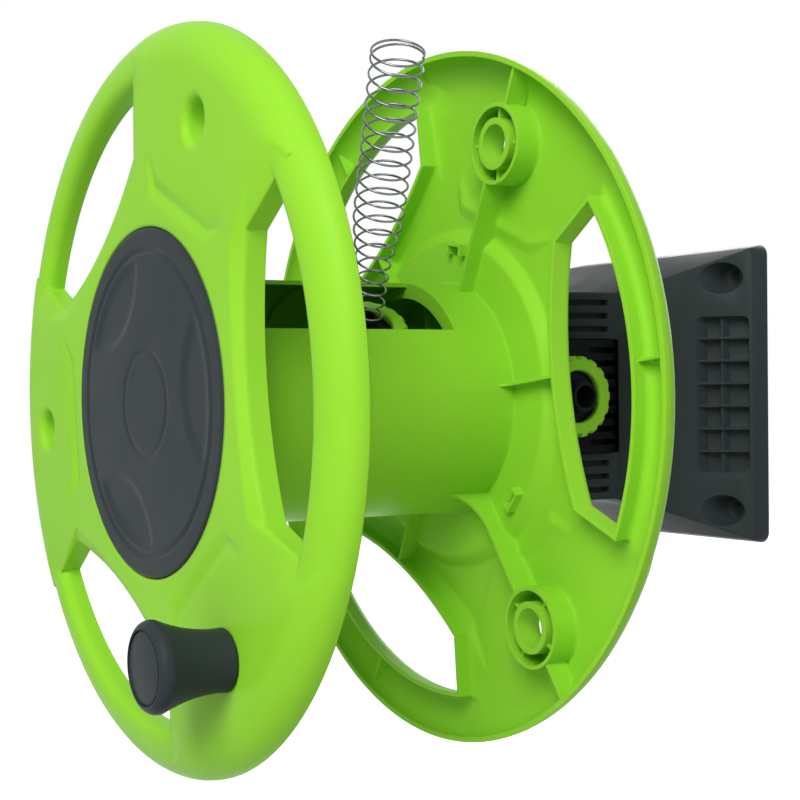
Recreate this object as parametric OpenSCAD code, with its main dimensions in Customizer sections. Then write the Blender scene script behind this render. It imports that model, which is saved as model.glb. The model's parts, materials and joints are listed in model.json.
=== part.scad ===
// Wall-mounted garden hose reel with a swivelling bracket.
// Origin: centre of the wall plate's back face. +Z is up, +Y points into the wall,
// so everything stands out of the wall towards -Y. Units are millimetres.
// Clock angles run clockwise from +Z towards +X, as seen by someone facing the reel.

/* [Spool] */
// Outer diameter of both flanges
flange_d = 390; // [376:2:410]
// Depth of a flange from its smooth face to its open edge
flange_depth = 17; // [15:0.5:20]
// Clear width for the hose between the two open edges
winding_w = 162; // [150:1:180]
// Thickness of the flange skin
skin = 2.4; // [2:0.1:3]
// Thickness of the rim's outer wall
rim_wall = 3; // [2:0.1:4]
// Radial width of the rim outside the windows
rim_w = 27; // [27:0.5:31]
// Radial width of the rounded outer side on the lobes
lobe_outer_round = 22; // [14:0.5:24]
// Radial width of the rounded outer side between the lobes
rim_outer_round = 20; // [12:0.5:20]
// How far the rim is set back from the lobes' faces
rim_setback = 1.8; // [0.6:0.1:3]
// Straight land at the rim's open edge
rim_land = 1; // [0.5:0.25:3]
// Rounding of the rim's inner edge
rim_inner_round = 7; // [4:0.5:7]
// Clock angle of the first lobe
lobe_clock = 24; // [0:1:60]
// Outer diameter of the hose drum
drum_d = 131; // [124:1:140]
// Wall thickness of the drum
drum_wall = 2.4; // [2:0.1:3.2]

/* [Windows] */
// Distance from the reel's axis to a window's inner edge, at its middle
window_in = 108; // [105:0.5:114]
// Radius of the bowed inner edge
window_bow_r = 240; // [200:5:300]
// Half length of the inner edge
window_half = 68; // [60:1:72]
// Slope of the window's slanting ends, sideways run over outward run
window_end_slope = 0.545; // [0.45:0.01:0.65]
// Depth of the bevel round a window on the smooth face
bevel_depth = 3.4; // [2:0.2:5]
// Distance from the axis to the bevel's inner edge, at its middle
bevel_in = 102; // [98:0.5:104]
// Radius of the bevel's inner edge
bevel_bow_r = 514; // [400:10:700]
// Half length of the bevel's inner edge
bevel_half = 64; // [60:1:70]
// How much lower the window walls stand than the flange's open edge
window_wall_drop = 2.5; // [1:0.5:5]

/* [Lobes] */
// Distance of the lobe holes from the flange's edge
lobe_hole_inset = 45; // [42:0.5:48]
// Diameter of the hole in each lobe
lobe_hole_d = 20.8; // [18:0.2:22]
// Rounding of the hole's mouth on the smooth face
lobe_mouth_round = 4.6; // [2:0.2:6]
// Outer diameter of the boss round the hole
boss_d = 28; // [26:0.5:32]
// Outer diameter of the guard ring round the boss
boss_ring_d = 44; // [40:1:50]
// Wall thickness of the guard ring
boss_ring_wall = 2.2; // [1.6:0.1:3]
// Thickness of the webs inside the guard ring
boss_web = 1.6; // [1:0.1:2]
// Thickness of the radial ribs
rib_t = 2; // [1.5:0.1:3]
// Thickness of the fins behind the windows
fin_t = 1.5; // [1:0.1:2]
// Height of a gusset along the drum, above the rib
gusset_h = 20; // [12:1:24]
// Length of a gusset along the rib
gusset_l = 24; // [15:1:30]
// Width of the vee groove across each lobe
vee_w = 12.5; // [8:0.5:14]
// Depth of the vee groove
vee_depth = 1.8; // [1:0.1:2.2]

/* [Hub and cap] */
// Diameter of the centre cap
cap_d = 182; // [176:1:184]
// Thickness of the cap's plate
cap_t = 3.4; // [3:0.1:3.8]
// Depth of the recess that holds the cap
recess_depth = 5.6; // [5.2:0.1:7]
// Height by which the cap stands proud of the flange
cap_proud = 0.7; // [0.4:0.1:1.2]
// Diameter of the ring groove in the cap
cap_groove_d = 158; // [150:1:164]
// Diameter of the small centre ring in the cap
cap_ring_d = 54; // [44:1:64]
// Depth of the three hollows in the cap
cap_dish = 1.2; // [0.6:0.1:1.2]
// Gap between the cap's edge and the recess
cap_gap = 0.4; // [0.3:0.05:0.8]
// Width of a snap hook on the cap
hook_w = 9; // [6:0.5:12]
// Thickness of a snap hook
hook_t = 2; // [1.6:0.1:2.4]
// Radius of the circle through the snap hooks
hook_r = 84.6; // [83:0.1:85.4]

/* [Drum opening] */
// Clock angle of the middle of the hose opening
opening_clock = 31; // [25:1:37]
// Angle that the hose opening spans
opening_span = 48.8; // [44:0.2:54]
// Distance from a flange's smooth face to the end of the hose opening
opening_start = 39; // [36:1:44]
// Width of the ring that ends the hose opening inside the drum
end_ring_w = 8.5; // [6:0.5:10]
// Thickness of that ring
end_ring_t = 3; // [2:0.2:4]

/* [Axle and union] */
// Outer diameter of the hollow axle
axle_d = 28; // [26:0.5:30]
// Bore of the hollow axle
axle_bore_d = 14; // [11:0.5:15]
// Running gap between the axle and what turns on it
run_gap = 0.08; // [0.05:0.01:0.1]
// Wall thickness of the flanged bushes
bush_wall = 3; // [2:0.2:4]
// Length of a flanged bush
bush_l = 20; // [16:1:24]
// Thickness of a bush's flange
bush_flange_t = 2; // [1.5:0.1:3]
// Outer diameter of the outlet union's body
union_d = 44; // [42:0.5:46]
// Length of the outlet union's body
union_l = 44; // [42:1:50]
// Distance of the outlet's axis from the front face of the spool
outlet_from_face = 127.6; // [122:0.2:132]
// Clock angle of the outlet
outlet_clock = 36.35; // [33:0.05:40]
// Lean of the outlet towards the front
outlet_lean = 13.1; // [8:0.1:16]
// Diameter of an O-ring's cord
o_ring_cord = 2.6; // [2:0.1:3]
// Distance of each O-ring from the union's middle
o_ring_pitch = 14; // [13:0.5:16]

/* [Hose couplings] */
// Outer diameter of a coupling nut over its teeth
nut_d = 46; // [44:0.5:48]
// Diameter of a coupling nut's mouth
nut_mouth_d = 29.6; // [28.6:0.2:31]
// Length of a coupling nut
nut_l = 24; // [22:0.5:26]
// Number of teeth round a coupling nut
nut_teeth = 18; // [12:1:24]
// Depth of the notches between the teeth
nut_notch = 2; // [1:0.1:2.6]
// Outer diameter of the threaded spigot
spigot_d = 34; // [33:0.5:35]
// Outer diameter of a hose tail
tail_d = 18; // [17:0.2:18.4]
// Bore of a hose tail
tail_bore_d = 13; // [10:0.5:14]
// How far the inlet tail stands out of its nut
tail_out = 5.3; // [3:0.1:9]
// Distance from the reel's axis to the outlet nut's mouth
outlet_mouth = 52; // [51:0.5:55]

/* [Hose spring] */
// Diameter of the spring's wire
wire_d = 1.2; // [1:0.1:1.6]
// Outer diameter of the spring
spring_d = 27; // [25:0.5:29]
// Outer diameter of the spring's narrow foot
spring_foot_d = 18.6; // [18:0.2:20]
// Advance of the spring in one open turn
spring_pitch = 8; // [7:0.25:9]
// Number of open turns
spring_turns = 19.75; // [14:0.25:22]
// Number of open turns over which the foot widens
spring_widen_turns = 5; // [3:1:6]
// Number of open turns that stay narrow at the foot
spring_narrow_turns = 4; // [2:1:5]
// Number of closed turns at the free end
spring_end_turns = 1.75; // [1:0.25:2]
// Gap between the closed turns
spring_end_gap = 0.5; // [0.45:0.05:0.8]

/* [Crank knob] */
// Diameter of the knob where it meets the flange
knob_base_d = 31; // [28:0.5:34]
// Diameter of the knob's big end
knob_end_d = 44; // [40:0.5:48]
// Length of the knob
knob_l = 42; // [36:0.5:48]
// Diameter of the knob's narrow waist
knob_waist_d = 30.4; // [28:0.2:30.8]
// Distance of the waist from the knob's base
knob_waist_z = 5; // [3:0.5:10]
// Diameter of the disc that closes the knob
knob_disc_d = 35; // [32:0.5:37]
// Diameter of the knob's stud
stud_d = 12; // [10:0.5:14]

/* [Swivel block] */
// Half width of the block
block_half_w = 29; // [27:0.5:30]
// Half height of the block
block_half_h = 33; // [30:0.5:36]
// Radius of the block's barrel round the hinge
barrel_r = 31; // [30:0.5:32.5]
// Gap between the block and the bracket's arms
arm_gap = 0.4; // [0.3:0.05:0.8]
// Distance of the block's front from the rear flange's smooth face
block_to_flange = 10.3; // [8:0.1:14]
// Diameter of the block's nose
nose_d = 48; // [44:1:52]
// Distance of the inlet's axis from the wall
inlet_out = 113.2; // [110:0.2:116]
// Height and pitch of the barrel's grooves
groove_pitch = 7.7; // [7:0.1:8.4]
// Height of one groove
groove_h = 3.4; // [2:0.2:4]
// Depth of the grooves
groove_depth = 5; // [3:0.5:7]

/* [Wall bracket] */
// Width of the wall plate
plate_w = 170.6; // [164:0.2:180]
// Height of the wall plate
plate_h = 174; // [168:0.5:184]
// Thickness of the wall plate's edge
plate_edge = 12.2; // [10:0.2:14]
// Distance of the wall screws from the plate's side edges
screw_inset_x = 12.8; // [11:0.2:16]
// Distance of the wall screws from the plate's top and bottom edges
screw_inset_z = 19.5; // [17:0.5:24]
// Diameter of the wall screw holes
screw_hole_d = 8.7; // [6:0.1:9.5]
// Diameter of the counterbores for the screw heads
counterbore_d = 18; // [16:0.5:19]
// Thickness of the floor under a screw head
screw_floor = 12.8; // [8:0.2:14]
// Distance of the hinge axis from the wall
hinge_out = 81.2; // [79:0.2:84]
// Half height of the bracket's arms
arm_half_h = 61; // [58:0.5:66]
// Radius of the arms' noses
arm_r = 28; // [26:0.5:29]
// Diameter of the hinge pin
pin_d = 12; // [10:0.5:14]
// Diameter of the hinge pin's head
pin_head_d = 20; // [18:0.5:24]
// Height of the hinge pin's head
pin_head_h = 8; // [5:0.5:10]
// Number of ribs across each ladder pocket
ladder_ribs = 6; // [4:1:8]
// Thickness of a ladder rib
ladder_rib_t = 1.6; // [1.2:0.1:2.4]

/* [Hidden] */
$fn = 96;
eps = 0.05;

// Colours
lime = [0.50, 0.80, 0.15];
graphite = [0.22, 0.24, 0.25];
ink = [0.10, 0.10, 0.11];
steel = [0.72, 0.73, 0.75];
rubber_black = [0.05, 0.05, 0.05];

// Radii and stations of the spool
flange_r = flange_d / 2;
drum_r = drum_d / 2;
window_out = flange_r - rim_w;
lobe_hole_r = flange_r - lobe_hole_inset;
half_l = flange_depth + winding_w / 2;
rear_face_y = -159.5;
front_face_y = rear_face_y - 2 * half_l;
lobe_count = 3;
lobe_step = 360 / lobe_count;
floor_z = recess_depth + skin;
recess_r = cap_d / 2 + cap_gap;
recess_taper = 3;
hub_step = 5.5;
wall_top = flange_depth - window_wall_drop;
fit_gap = 0.1;
seat_gap = 0.3;

// Rounded corner from one tangent point to the other, centre c, radius r
function arc(c, r, a0, a1, n) = [for (i = [0:n]) let (a = a0 + (a1 - a0) * i / n)
    [c[0] + r * cos(a), c[1] + r * sin(a)]];

// Moves a child to a clock angle on a disc seen from its smooth face
module clock(a) { rotate([0, 0, -a]) children(); }

// Repeats a child at every lobe, or at every window with by = half a step
module each_lobe(by = 0) {
    for (i = [0:lobe_count - 1]) clock(lobe_clock + by + i * lobe_step) children();
}

// Places a flange's local frame (z runs from its smooth face inwards)
module front_frame() {
    translate([0, front_face_y, 0]) rotate([90, 0, 0]) mirror([0, 0, 1]) children();
}
module rear_frame() {
    translate([0, rear_face_y, 0]) rotate([90, 0, 0]) children();
}

// Window outline, grown by g, with its outer arc on radius r_out (x sideways, y outwards)
arc_steps = 12;
window_c = window_in + window_bow_r;
window_corner = [window_half, window_c - sqrt(window_bow_r^2 - window_half^2)];
end_len = sqrt(1 + window_end_slope^2);
end_dir = [window_end_slope, 1] / end_len;
end_normal = [1, -window_end_slope] / end_len;
corner_normal = (window_corner - [0, window_c]) / window_bow_r;
corner_mitre = (end_normal + corner_normal) / (1 + end_normal * corner_normal);
function end_point(p, r) = let (k = p * end_dir) p + end_dir * (sqrt(k^2 - p * p + r^2) - k);
function window_outline(g, r_out) =
    let (corner = window_corner + g * corner_mitre,
         tip = end_point(corner, r_out),
         mid = (corner + tip) / 2,
         a_in = asin(corner[0] / (window_bow_r + g)),
         a_out = atan2(tip[0], tip[1]))
    concat([for (i = [0:arc_steps]) let (a = -a_in + 2 * a_in * i / arc_steps)
                [(window_bow_r + g) * sin(a), window_c - (window_bow_r + g) * cos(a)]],
           [mid],
           [for (i = [0:arc_steps]) let (a = a_out - 2 * a_out * i / arc_steps)
                r_out * [sin(a), cos(a)]],
           [[-mid[0], mid[1]]]);

// Outline of the bevel on the smooth face, with as many points as the window's
bevel_c = bevel_in + bevel_bow_r;
bevel_shoulder = [93, 131.4];
bevel_end_angle = 35.2;
function bevel_outline(r_out) =
    let (a_in = asin(bevel_half / bevel_bow_r))
    concat([for (i = [0:arc_steps]) let (a = -a_in + 2 * a_in * i / arc_steps)
                [bevel_bow_r * sin(a), bevel_c - bevel_bow_r * cos(a)]],
           [bevel_shoulder],
           [for (i = [0:arc_steps]) let (a = bevel_end_angle * (1 - 2 * i / arc_steps))
                r_out * [sin(a), cos(a)]],
           [[-bevel_shoulder[0], bevel_shoulder[1]]]);

// Solid between two outlines with the same number of points, at heights z0 and z1
module loft(a, b, z0, z1) {
    n = len(a);
    points = concat([for (p = a) [p[0], p[1], z0]], [for (p = b) [p[0], p[1], z1]]);
    faces = concat([[for (i = [0:n - 1]) i]], [[for (i = [n - 1:-1:0]) n + i]],
        [for (i = [0:n - 1]) [i, n + i, n + (i + 1) % n]],
        [for (i = [0:n - 1]) [i, n + (i + 1) % n, (i + 1) % n]]);
    polyhedron(points, faces);
}

// Quarter ellipse of the rim's side, w wide and h high, that ends on radius r at height z
side_steps = 10;
function rim_side(w, h, r, z) = [for (i = [0:side_steps]) let (a = 90 * i / side_steps)
    [r - w + w * sin(a), z - h * cos(a)]];

// Everything inside the rim's side, which trims the ribs that meet it
module rim_trim() {
    trim_r = flange_r - rim_wall / 2;
    rotate_extrude($fn = 180) polygon(concat([[0, 0], [trim_r - rim_outer_round, rim_setback + skin / 2]],
        rim_side(rim_outer_round, land_z - rim_setback - skin / 2, trim_r, land_z),
        [[trim_r, flange_depth], [0, flange_depth]]));
}

// Cuts that lower a window and the rim beyond it, from the bevel's outline down
cut_r = flange_d / 2 + 3;
module window_cut() {
    bevel_lift = 0.5;
    grow = bevel_lift / bevel_depth;
    a = bevel_outline(cut_r);
    b = window_outline(0, cut_r);
    translate([0, 0, -1]) linear_extrude(flange_depth + 2) polygon(b);
    loft(a + grow * (a - b), b, -bevel_lift, bevel_depth);
}

// Space under a window's bevel and walls that the hollow must not take
module window_guard() {
    b = window_outline(skin, cut_r);
    translate([0, 0, skin]) linear_extrude(flange_depth + 2) polygon(b);
    loft(bevel_outline(cut_r), b, skin - eps, skin + bevel_depth);
}

// Filled flange: low rim all round, and the lobes that stand above it
land_z = flange_depth - rim_land;
lip_in_r = flange_r - rim_wall - 1;
rim_round_c = [window_out + rim_inner_round, rim_setback + rim_inner_round];
module flange_body() {
    rotate_extrude($fn = 180) polygon(concat(
        [[window_out, wall_top]],
        arc(rim_round_c, rim_inner_round, 180, 270, 6),
        rim_side(rim_outer_round, land_z - rim_setback, flange_r, land_z),
        [[flange_r, flange_depth], [lip_in_r, flange_depth], [lip_in_r, wall_top]]));
    difference() {
        rotate_extrude($fn = 180) polygon(concat(
            [[0, 0]],
            rim_side(lobe_outer_round, land_z, flange_r, land_z),
            [[flange_r, flange_depth], [lip_in_r, flange_depth], [lip_in_r, wall_top], [0, wall_top]]));
        each_lobe(lobe_step / 2) window_cut();
    }
}

// Space inside the flange: under the lobes, and the channel all round the rim, in which one fin
// is left standing behind the middle of each window
rim_fin_drop = 3;
module flange_hollow() {
    inner_r = flange_r - rim_wall;
    difference() {
        rotate_extrude($fn = 180) polygon(concat(
            [[0, skin]],
            rim_side(lobe_outer_round - rim_wall, land_z - skin, inner_r, land_z),
            [[inner_r, flange_depth + 1], [0, flange_depth + 1]]));
        each_lobe(lobe_step / 2) window_guard();
    }
    difference() {
        rotate_extrude($fn = 180) polygon(concat(
            [[window_out + skin, flange_depth + 1]],
            arc(rim_round_c, rim_inner_round - skin, 180, 270, 5),
            rim_side(rim_outer_round - rim_wall, land_z - rim_setback - skin, inner_r, land_z),
            [[inner_r, flange_depth + 1]]));
        each_lobe(lobe_step / 2) translate([-fin_t / 2, window_out, rim_setback])
            cube([fin_t, rim_w, wall_top - rim_fin_drop - rim_setback]);
    }
}

// Hub recess for the cap, seen from the smooth face
module hub_recess() {
    translate([0, 0, -1]) cylinder(r = recess_r, h = 1 + cap_edge_h, $fn = 180);
    translate([0, 0, cap_edge_h - eps])
        cylinder(r1 = recess_r, r2 = recess_r - recess_taper, h = recess_depth - cap_edge_h + eps, $fn = 180);
}
cap_edge_h = 2.6;

// Radial rib with an optional gusset up the drum, in the plane x = 0
module radial_rib(r0, r1, top, gusset) {
    curve = [for (i = [0:8]) let (a = 90 * i / 8)
        [r0 + gusset_l * (1 - cos(a)), top + gusset_h * (1 - sin(a))]];
    side = concat([[r0, skin / 2]], gusset ? curve : [[r0, top]], [[r1, top], [r1, skin / 2]]);
    translate([-rib_t / 2, 0, 0]) rotate([90, 0, 90]) linear_extrude(rib_t) polygon(side);
}

// Lobe boss: inner tube, guard ring and four webs
module lobe_boss() {
    web_turn = 20;
    web_drop = 3;
    translate([0, lobe_hole_r, 0]) {
        cylinder(d = boss_d, h = flange_depth);
        difference() {
            cylinder(d = boss_ring_d, h = flange_depth);
            translate([0, 0, -1]) cylinder(d = boss_ring_d - 2 * boss_ring_wall, h = flange_depth + 2);
        }
        for (q = [0, 90]) rotate([0, 0, web_turn + q])
            translate([-boss_web / 2, -boss_ring_d / 2 + 1, skin / 2])
                cube([boss_web, boss_ring_d - 2, flange_depth - skin / 2 - web_drop]);
    }
}

// Cut for a lobe's hole and its rounded mouth
module lobe_hole() {
    mouth_r = lobe_hole_d / 2 + lobe_mouth_round;
    translate([0, lobe_hole_r, 0]) {
        translate([0, 0, -1]) cylinder(d = lobe_hole_d, h = flange_depth + 2);
        rotate_extrude() polygon(concat([[0, -1]], [[mouth_r, -1]],
            arc([mouth_r, lobe_mouth_round], lobe_mouth_round, 270, 180, 6), [[0, lobe_mouth_round]]));
    }
}

// Vee across a lobe: one solid along three straight runs, mitred where they meet, that runs out
// to nothing at both ends. It is cut from the smooth face and stands proud on the inner side.
vee_path = [[-47, 118], [-33.5, 105.5], [33.5, 105.5], [47, 118]];
vee_last = len(vee_path) - 1;
vee_end_depth = 0.1;
function vee_normal(i) = let (d = vee_path[i + 1] - vee_path[i]) [-d[1], d[0]] / norm(d);
function vee_mitre(i) =
    let (a = vee_normal(max(0, i - 1)), b = vee_normal(min(vee_last - 1, i)))
    (a + b) / (1 + a * b);
module vee(base) {
    points = [for (i = [0:vee_last])
        let (p = vee_path[i], m = vee_w / 2 * vee_mitre(i),
             deep = i == 0 || i == vee_last ? vee_end_depth : vee_depth)
        each [[p[0] - m[0], p[1] - m[1], -base], [p[0] + m[0], p[1] + m[1], -base],
            [p[0] + m[0], p[1] + m[1], 0], [p[0], p[1], deep], [p[0] - m[0], p[1] - m[1], 0]]];
    sides = [for (i = [0:vee_last - 1], k = [0:4]) let (a = 5 * i + k, b = 5 * i + (k + 1) % 5)
        each [[a, b + 5, b], [a, a + 5, b + 5]]];
    last = 5 * vee_last;
    polyhedron(points, concat([[0, 1, 2, 3, 4]], sides, [[for (k = [4:-1:0]) last + k]]));
}

// Guard box behind a hook slot, and the slot
hook_clock = -14;
slot_gap = 0.5;
box_wall = 1.6;
box_h = 4.6;
barb_room = 2.6;
barb_out = 1.8;
barb_h = 2;
hook_room = 12;
module hook_box() {
    box_w = hook_w + 2 * slot_gap + 2 * box_wall;
    translate([-box_w / 2, hook_r - hook_t - slot_gap, floor_z - skin / 2])
        cube([box_w, hook_t + slot_gap + barb_room + box_wall, box_h + skin / 2]);
}
module hook_slot() {
    slot_w = hook_w + 2 * slot_gap;
    inner = hook_r - hook_t - slot_gap;
    translate([-slot_w / 2, inner, recess_depth - 1]) cube([slot_w, hook_t + 2 * slot_gap, skin + 2]);
    translate([-slot_w / 2, inner - 1, floor_z])
        cube([slot_w, hook_t + slot_gap + 1 + barb_room, hook_room]);
}

// Columns for the long screws that clamp the two halves
column_r = 47.5;
column_d = 14;
drum_screw_d = 5;
drum_screw_head_d = 9.5;
drum_screw_l = 32;
screw_head_h = 3;
column_floor = 10;
column_clocks = [124, 214, 304];
module at_columns() {
    for (a = column_clocks) clock(a) translate([0, column_r, 0]) children();
}

// Hub tube for a flanged bush; well is its depth behind the recess floor
bush_r = axle_d / 2 + bush_wall;
hub_tube_wall = 4;
hub_rib_h = 14;
hub_ribs = 6;
hub_rib_clock = 34;
module hub_tube(start) {
    translate([0, 0, start]) cylinder(r = bush_r + fit_gap / 2 + hub_tube_wall, h = bush_l + 1);
    for (i = [0:hub_ribs - 1]) clock(i * 360 / hub_ribs + lobe_clock + hub_rib_clock)
        translate([-fin_t / 2, bush_r + 1, floor_z - skin / 2])
            cube([fin_t, drum_r - bush_r - 2, hub_rib_h]);
}
module bush_seat(start) {
    translate([0, 0, -1]) cylinder(r = bush_r + fit_gap / 2, h = start + bush_l + 3);
}

// Floor of the hub, raised on the inner side, with a rounded step down to the skin
plateau_slope = 3.4;
module plateau() {
    step_r = recess_r + hub_step;
    top_r = step_r - hub_step - 1.4;
    rotate_extrude($fn = 180) polygon([[0, skin / 2], [step_r, skin / 2], [step_r, skin],
        [top_r + plateau_slope, floor_z - 2.4], [top_r + 1.2, floor_z - 0.6], [top_r, floor_z],
        [0, floor_z]]);
}

// Wedge that the hose opening takes, from height z on, wider by extra degrees on each side
module opening_wedge(z, h, extra = 0) {
    half = opening_span / 2 + extra;
    clock(opening_clock) translate([0, 0, z]) linear_extrude(h)
        polygon([[0, 0], 2 * drum_r * [-sin(half), cos(half)], 2 * drum_r * [sin(half), cos(half)]]);
}

// Fin from the drum to a window's wall, in the plane x = 0
fin_foot_h = 4;
module window_fin() {
    fin_end = window_in - skin / 2;
    start = drum_r - 1;
    translate([-fin_t / 2, 0, 0]) rotate([90, 0, 90]) linear_extrude(fin_t) polygon([
        [start, skin / 2], [start, wall_top + fin_foot_h], [start + fin_foot_h, wall_top + 1],
        [start + 2 * fin_foot_h, wall_top], [fin_end, wall_top], [fin_end, skin / 2 + bevel_depth],
        [bevel_in - 2, skin / 2]]);
}

// One moulded half of the spool: flange and half of the drum. The well is the depth of the
// pocket in the hub's middle, measured from the recess floor.
well_r = 25;
module spool_half(well) {
    bush_start = recess_depth + well;
    difference() {
        union() {
            difference() {
                flange_body();
                flange_hollow();
            }
            plateau();
            difference() {
                cylinder(r = drum_r, h = half_l, $fn = 180);
                translate([0, 0, floor_z]) cylinder(r = drum_r - drum_wall, h = half_l, $fn = 180);
            }
            translate([0, 0, opening_start - end_ring_t]) difference() {
                cylinder(r = drum_r - drum_wall / 2, h = end_ring_t, $fn = 180);
                translate([0, 0, -1]) cylinder(r = drum_r - end_ring_w, h = end_ring_t + 2, $fn = 180);
            }
            if (well > 0) translate([0, 0, recess_depth]) cylinder(r = well_r + skin, h = well + skin);
            hub_tube(bush_start);
            each_lobe() {
                lobe_boss();
                translate([0, 0, skin]) vee(skin / 2);
                clock(hook_clock) hook_box();
            }
            intersection() {
                rim_trim();
                each_lobe() radial_rib(lobe_hole_r + boss_ring_d / 2 - 1, flange_r, flange_depth - 1, false);
            }
            each_lobe(lobe_step / 2) window_fin();
            for (i = [0:lobe_count - 1]) clock(lobe_clock + i * lobe_step)
                radial_rib(drum_r - 1, lobe_hole_r - boss_ring_d / 2 + 1, flange_depth, i > 0);
            at_columns() translate([0, 0, recess_depth]) cylinder(d = column_d, h = half_l - recess_depth);
        }
        hub_recess();
        if (well > 0) translate([0, 0, recess_depth - 1]) cylinder(r = well_r, h = well + 1);
        bush_seat(bush_start);
        each_lobe() {
            lobe_hole();
            vee(1);
            clock(hook_clock) hook_slot();
        }
        opening_wedge(opening_start, half_l);
        at_columns() {
            if (well > 0) {
                translate([0, 0, -1])
                    cylinder(d = drum_screw_head_d + 8 * fit_gap, h = half_l - column_floor + 1);
                translate([0, 0, -1]) cylinder(d = drum_screw_d + 4 * fit_gap, h = half_l + 2);
            } else translate([0, 0, half_l - drum_screw_l + column_floor - 2])
                cylinder(d = drum_screw_d + fit_gap, h = drum_screw_l);
        }
    }
}

// Lip of the front half that slides into the rear half's drum
lip_l = 4;
lip_t = 1.8;
opening_lip_gap = 1.5;
front_well = 9;
module drum_lip() {
    lip_r = drum_r - drum_wall;
    bore_r = lip_r - lip_t;
    difference() {
        translate([0, 0, half_l - lip_l]) cylinder(r = lip_r + eps, h = lip_l, $fn = 180);
        translate([0, 0, half_l - lip_l - 1]) cylinder(r = bore_r, h = 2 * lip_l + 2, $fn = 180);
        opening_wedge(half_l - 2 * lip_l, 4 * lip_l);
    }
    difference() {
        translate([0, 0, half_l - eps]) cylinder(r = lip_r - fit_gap, h = lip_l + eps, $fn = 180);
        translate([0, 0, half_l - 1]) cylinder(r = bore_r, h = lip_l + 2, $fn = 180);
        opening_wedge(half_l - 2 * lip_l, 4 * lip_l, opening_lip_gap);
    }
}
module front_half() {
    color(lime) front_frame() {
        spool_half(front_well);
        drum_lip();
    }
}
module rear_half() { color(lime) rear_frame() spool_half(0); }

// Hooked cap that closes the hub of the front half
cap_chamfer = 1;
cap_hollow_out = 90;
cap_hollow_r = 45;
cap_hollow_slope = 7;
cap_groove_w = 2.4;
cap_groove_depth = 1;
skirt_t = 2;
module centre_cap() {
    top = -cap_proud;
    under = top + cap_t;
    skirt_r = recess_r - recess_taper - cap_gap;
    color(graphite) front_frame() difference() {
        union() {
            rotate_extrude($fn = 180) polygon([[0, top], [cap_d / 2 - cap_chamfer, top],
                [cap_d / 2, top + cap_chamfer], [cap_d / 2, cap_edge_h - cap_gap], [skirt_r, under],
                [skirt_r, recess_depth], [skirt_r - skirt_t, recess_depth], [skirt_r - skirt_t, under],
                [0, under]]);
            each_lobe() clock(hook_clock) {
                translate([-hook_w / 2, hook_r - hook_t, under - eps])
                    cube([hook_w, hook_t, floor_z + barb_h + fit_gap - under]);
                translate([-hook_w / 2, hook_r - hook_t, floor_z + fit_gap])
                    cube([hook_w, hook_t + barb_out, barb_h]);
            }
        }
        for (r = [cap_groove_d / 2, cap_ring_d / 2]) rotate_extrude($fn = 180)
            polygon([[r - cap_groove_w / 2, top - eps], [r + cap_groove_w / 2, top - eps],
                [r, top + cap_groove_depth]]);
        intersection() {
            translate([0, 0, top - 1])
                cylinder(r = cap_groove_d / 2 - cap_groove_w, h = cap_t + 1, $fn = 180);
            each_lobe(lobe_step / 2) translate([0, cap_hollow_out, top - eps])
                cylinder(r1 = cap_hollow_r, r2 = cap_hollow_r - cap_hollow_slope, h = cap_dish + eps);
        }
    }
}

// Cross slot for a driver, cut into a head whose face is at z
cross_w = 1.1;
cross_depth = 1.6;
module cross_slot(l, z) {
    for (q = [0, 90]) rotate([0, 0, q]) translate([-l / 2, -cross_w / 2, z - 1])
        cube([l, cross_w, cross_depth + 1]);
}

// Three screws that clamp the halves together
module drum_screws() {
    head_z = half_l - column_floor;
    color(steel) front_frame() at_columns() translate([0, 0, head_z]) difference() {
        union() {
            translate([0, 0, -1]) cylinder(d = drum_screw_d, h = drum_screw_l + 1);
            translate([0, 0, -screw_head_h]) cylinder(d = drum_screw_head_d, h = screw_head_h);
        }
        cross_slot(drum_screw_head_d * 0.52, -screw_head_h);
    }
}

// Flanged bush; its flange ends at z = 0 and its sleeve runs inwards
bush_flange_reach = 4;
module flanged_bush() {
    color(ink) difference() {
        union() {
            translate([0, 0, -bush_flange_t]) cylinder(r = bush_r + bush_flange_reach, h = bush_flange_t);
            translate([0, 0, -eps]) cylinder(r = bush_r, h = bush_l + eps);
        }
        translate([0, 0, -bush_flange_t - 1])
            cylinder(r = axle_d / 2 + run_gap, h = bush_l + bush_flange_t + 2);
    }
}
module front_bush() { front_frame() translate([0, 0, recess_depth + front_well]) flanged_bush(); }
module rear_bush() { rear_frame() translate([0, 0, recess_depth]) flanged_bush(); }

// Stations along the axle, as distances out of the wall
outlet_out = -front_face_y - outlet_from_face;
socket_setback = 9;
socket_out = inlet_out + socket_setback;
bush_front_z = recess_depth + front_well - bush_flange_t;
washer_t = 1.5;
ring_t = 1.5;
washer_z = bush_front_z - seat_gap - washer_t;
ring_z = washer_z - ring_t;
axle_tip_land = 2;
axle_tip_z = ring_z - axle_tip_land;
axle_tip_out = -front_face_y - axle_tip_z;
ring_groove_depth = 1.6;
o_ring_bite = 0.02;
o_groove_depth = o_ring_cord + run_gap - o_ring_bite;
o_groove_w = o_ring_cord + 2 * seat_gap;
seal_from_socket = 8;
seal_out = socket_out + seal_from_socket;
axle_pin_d = 5;
axle_pin_from_socket = 20;
axle_pin_out = socket_out + axle_pin_from_socket;
axle_pin_bite = 3.5;

// Puts a child on the reel's axis at a distance out of the wall, z towards the viewer
module on_axle(out) { translate([0, -out, 0]) rotate([90, 0, 0]) children(); }

module groove_ring(depth, w) {
    difference() {
        translate([0, 0, -w / 2]) cylinder(d = axle_d + 2, h = w);
        translate([0, 0, -w / 2 - 1]) cylinder(d = axle_d - 2 * depth, h = w + 2);
    }
}

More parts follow.
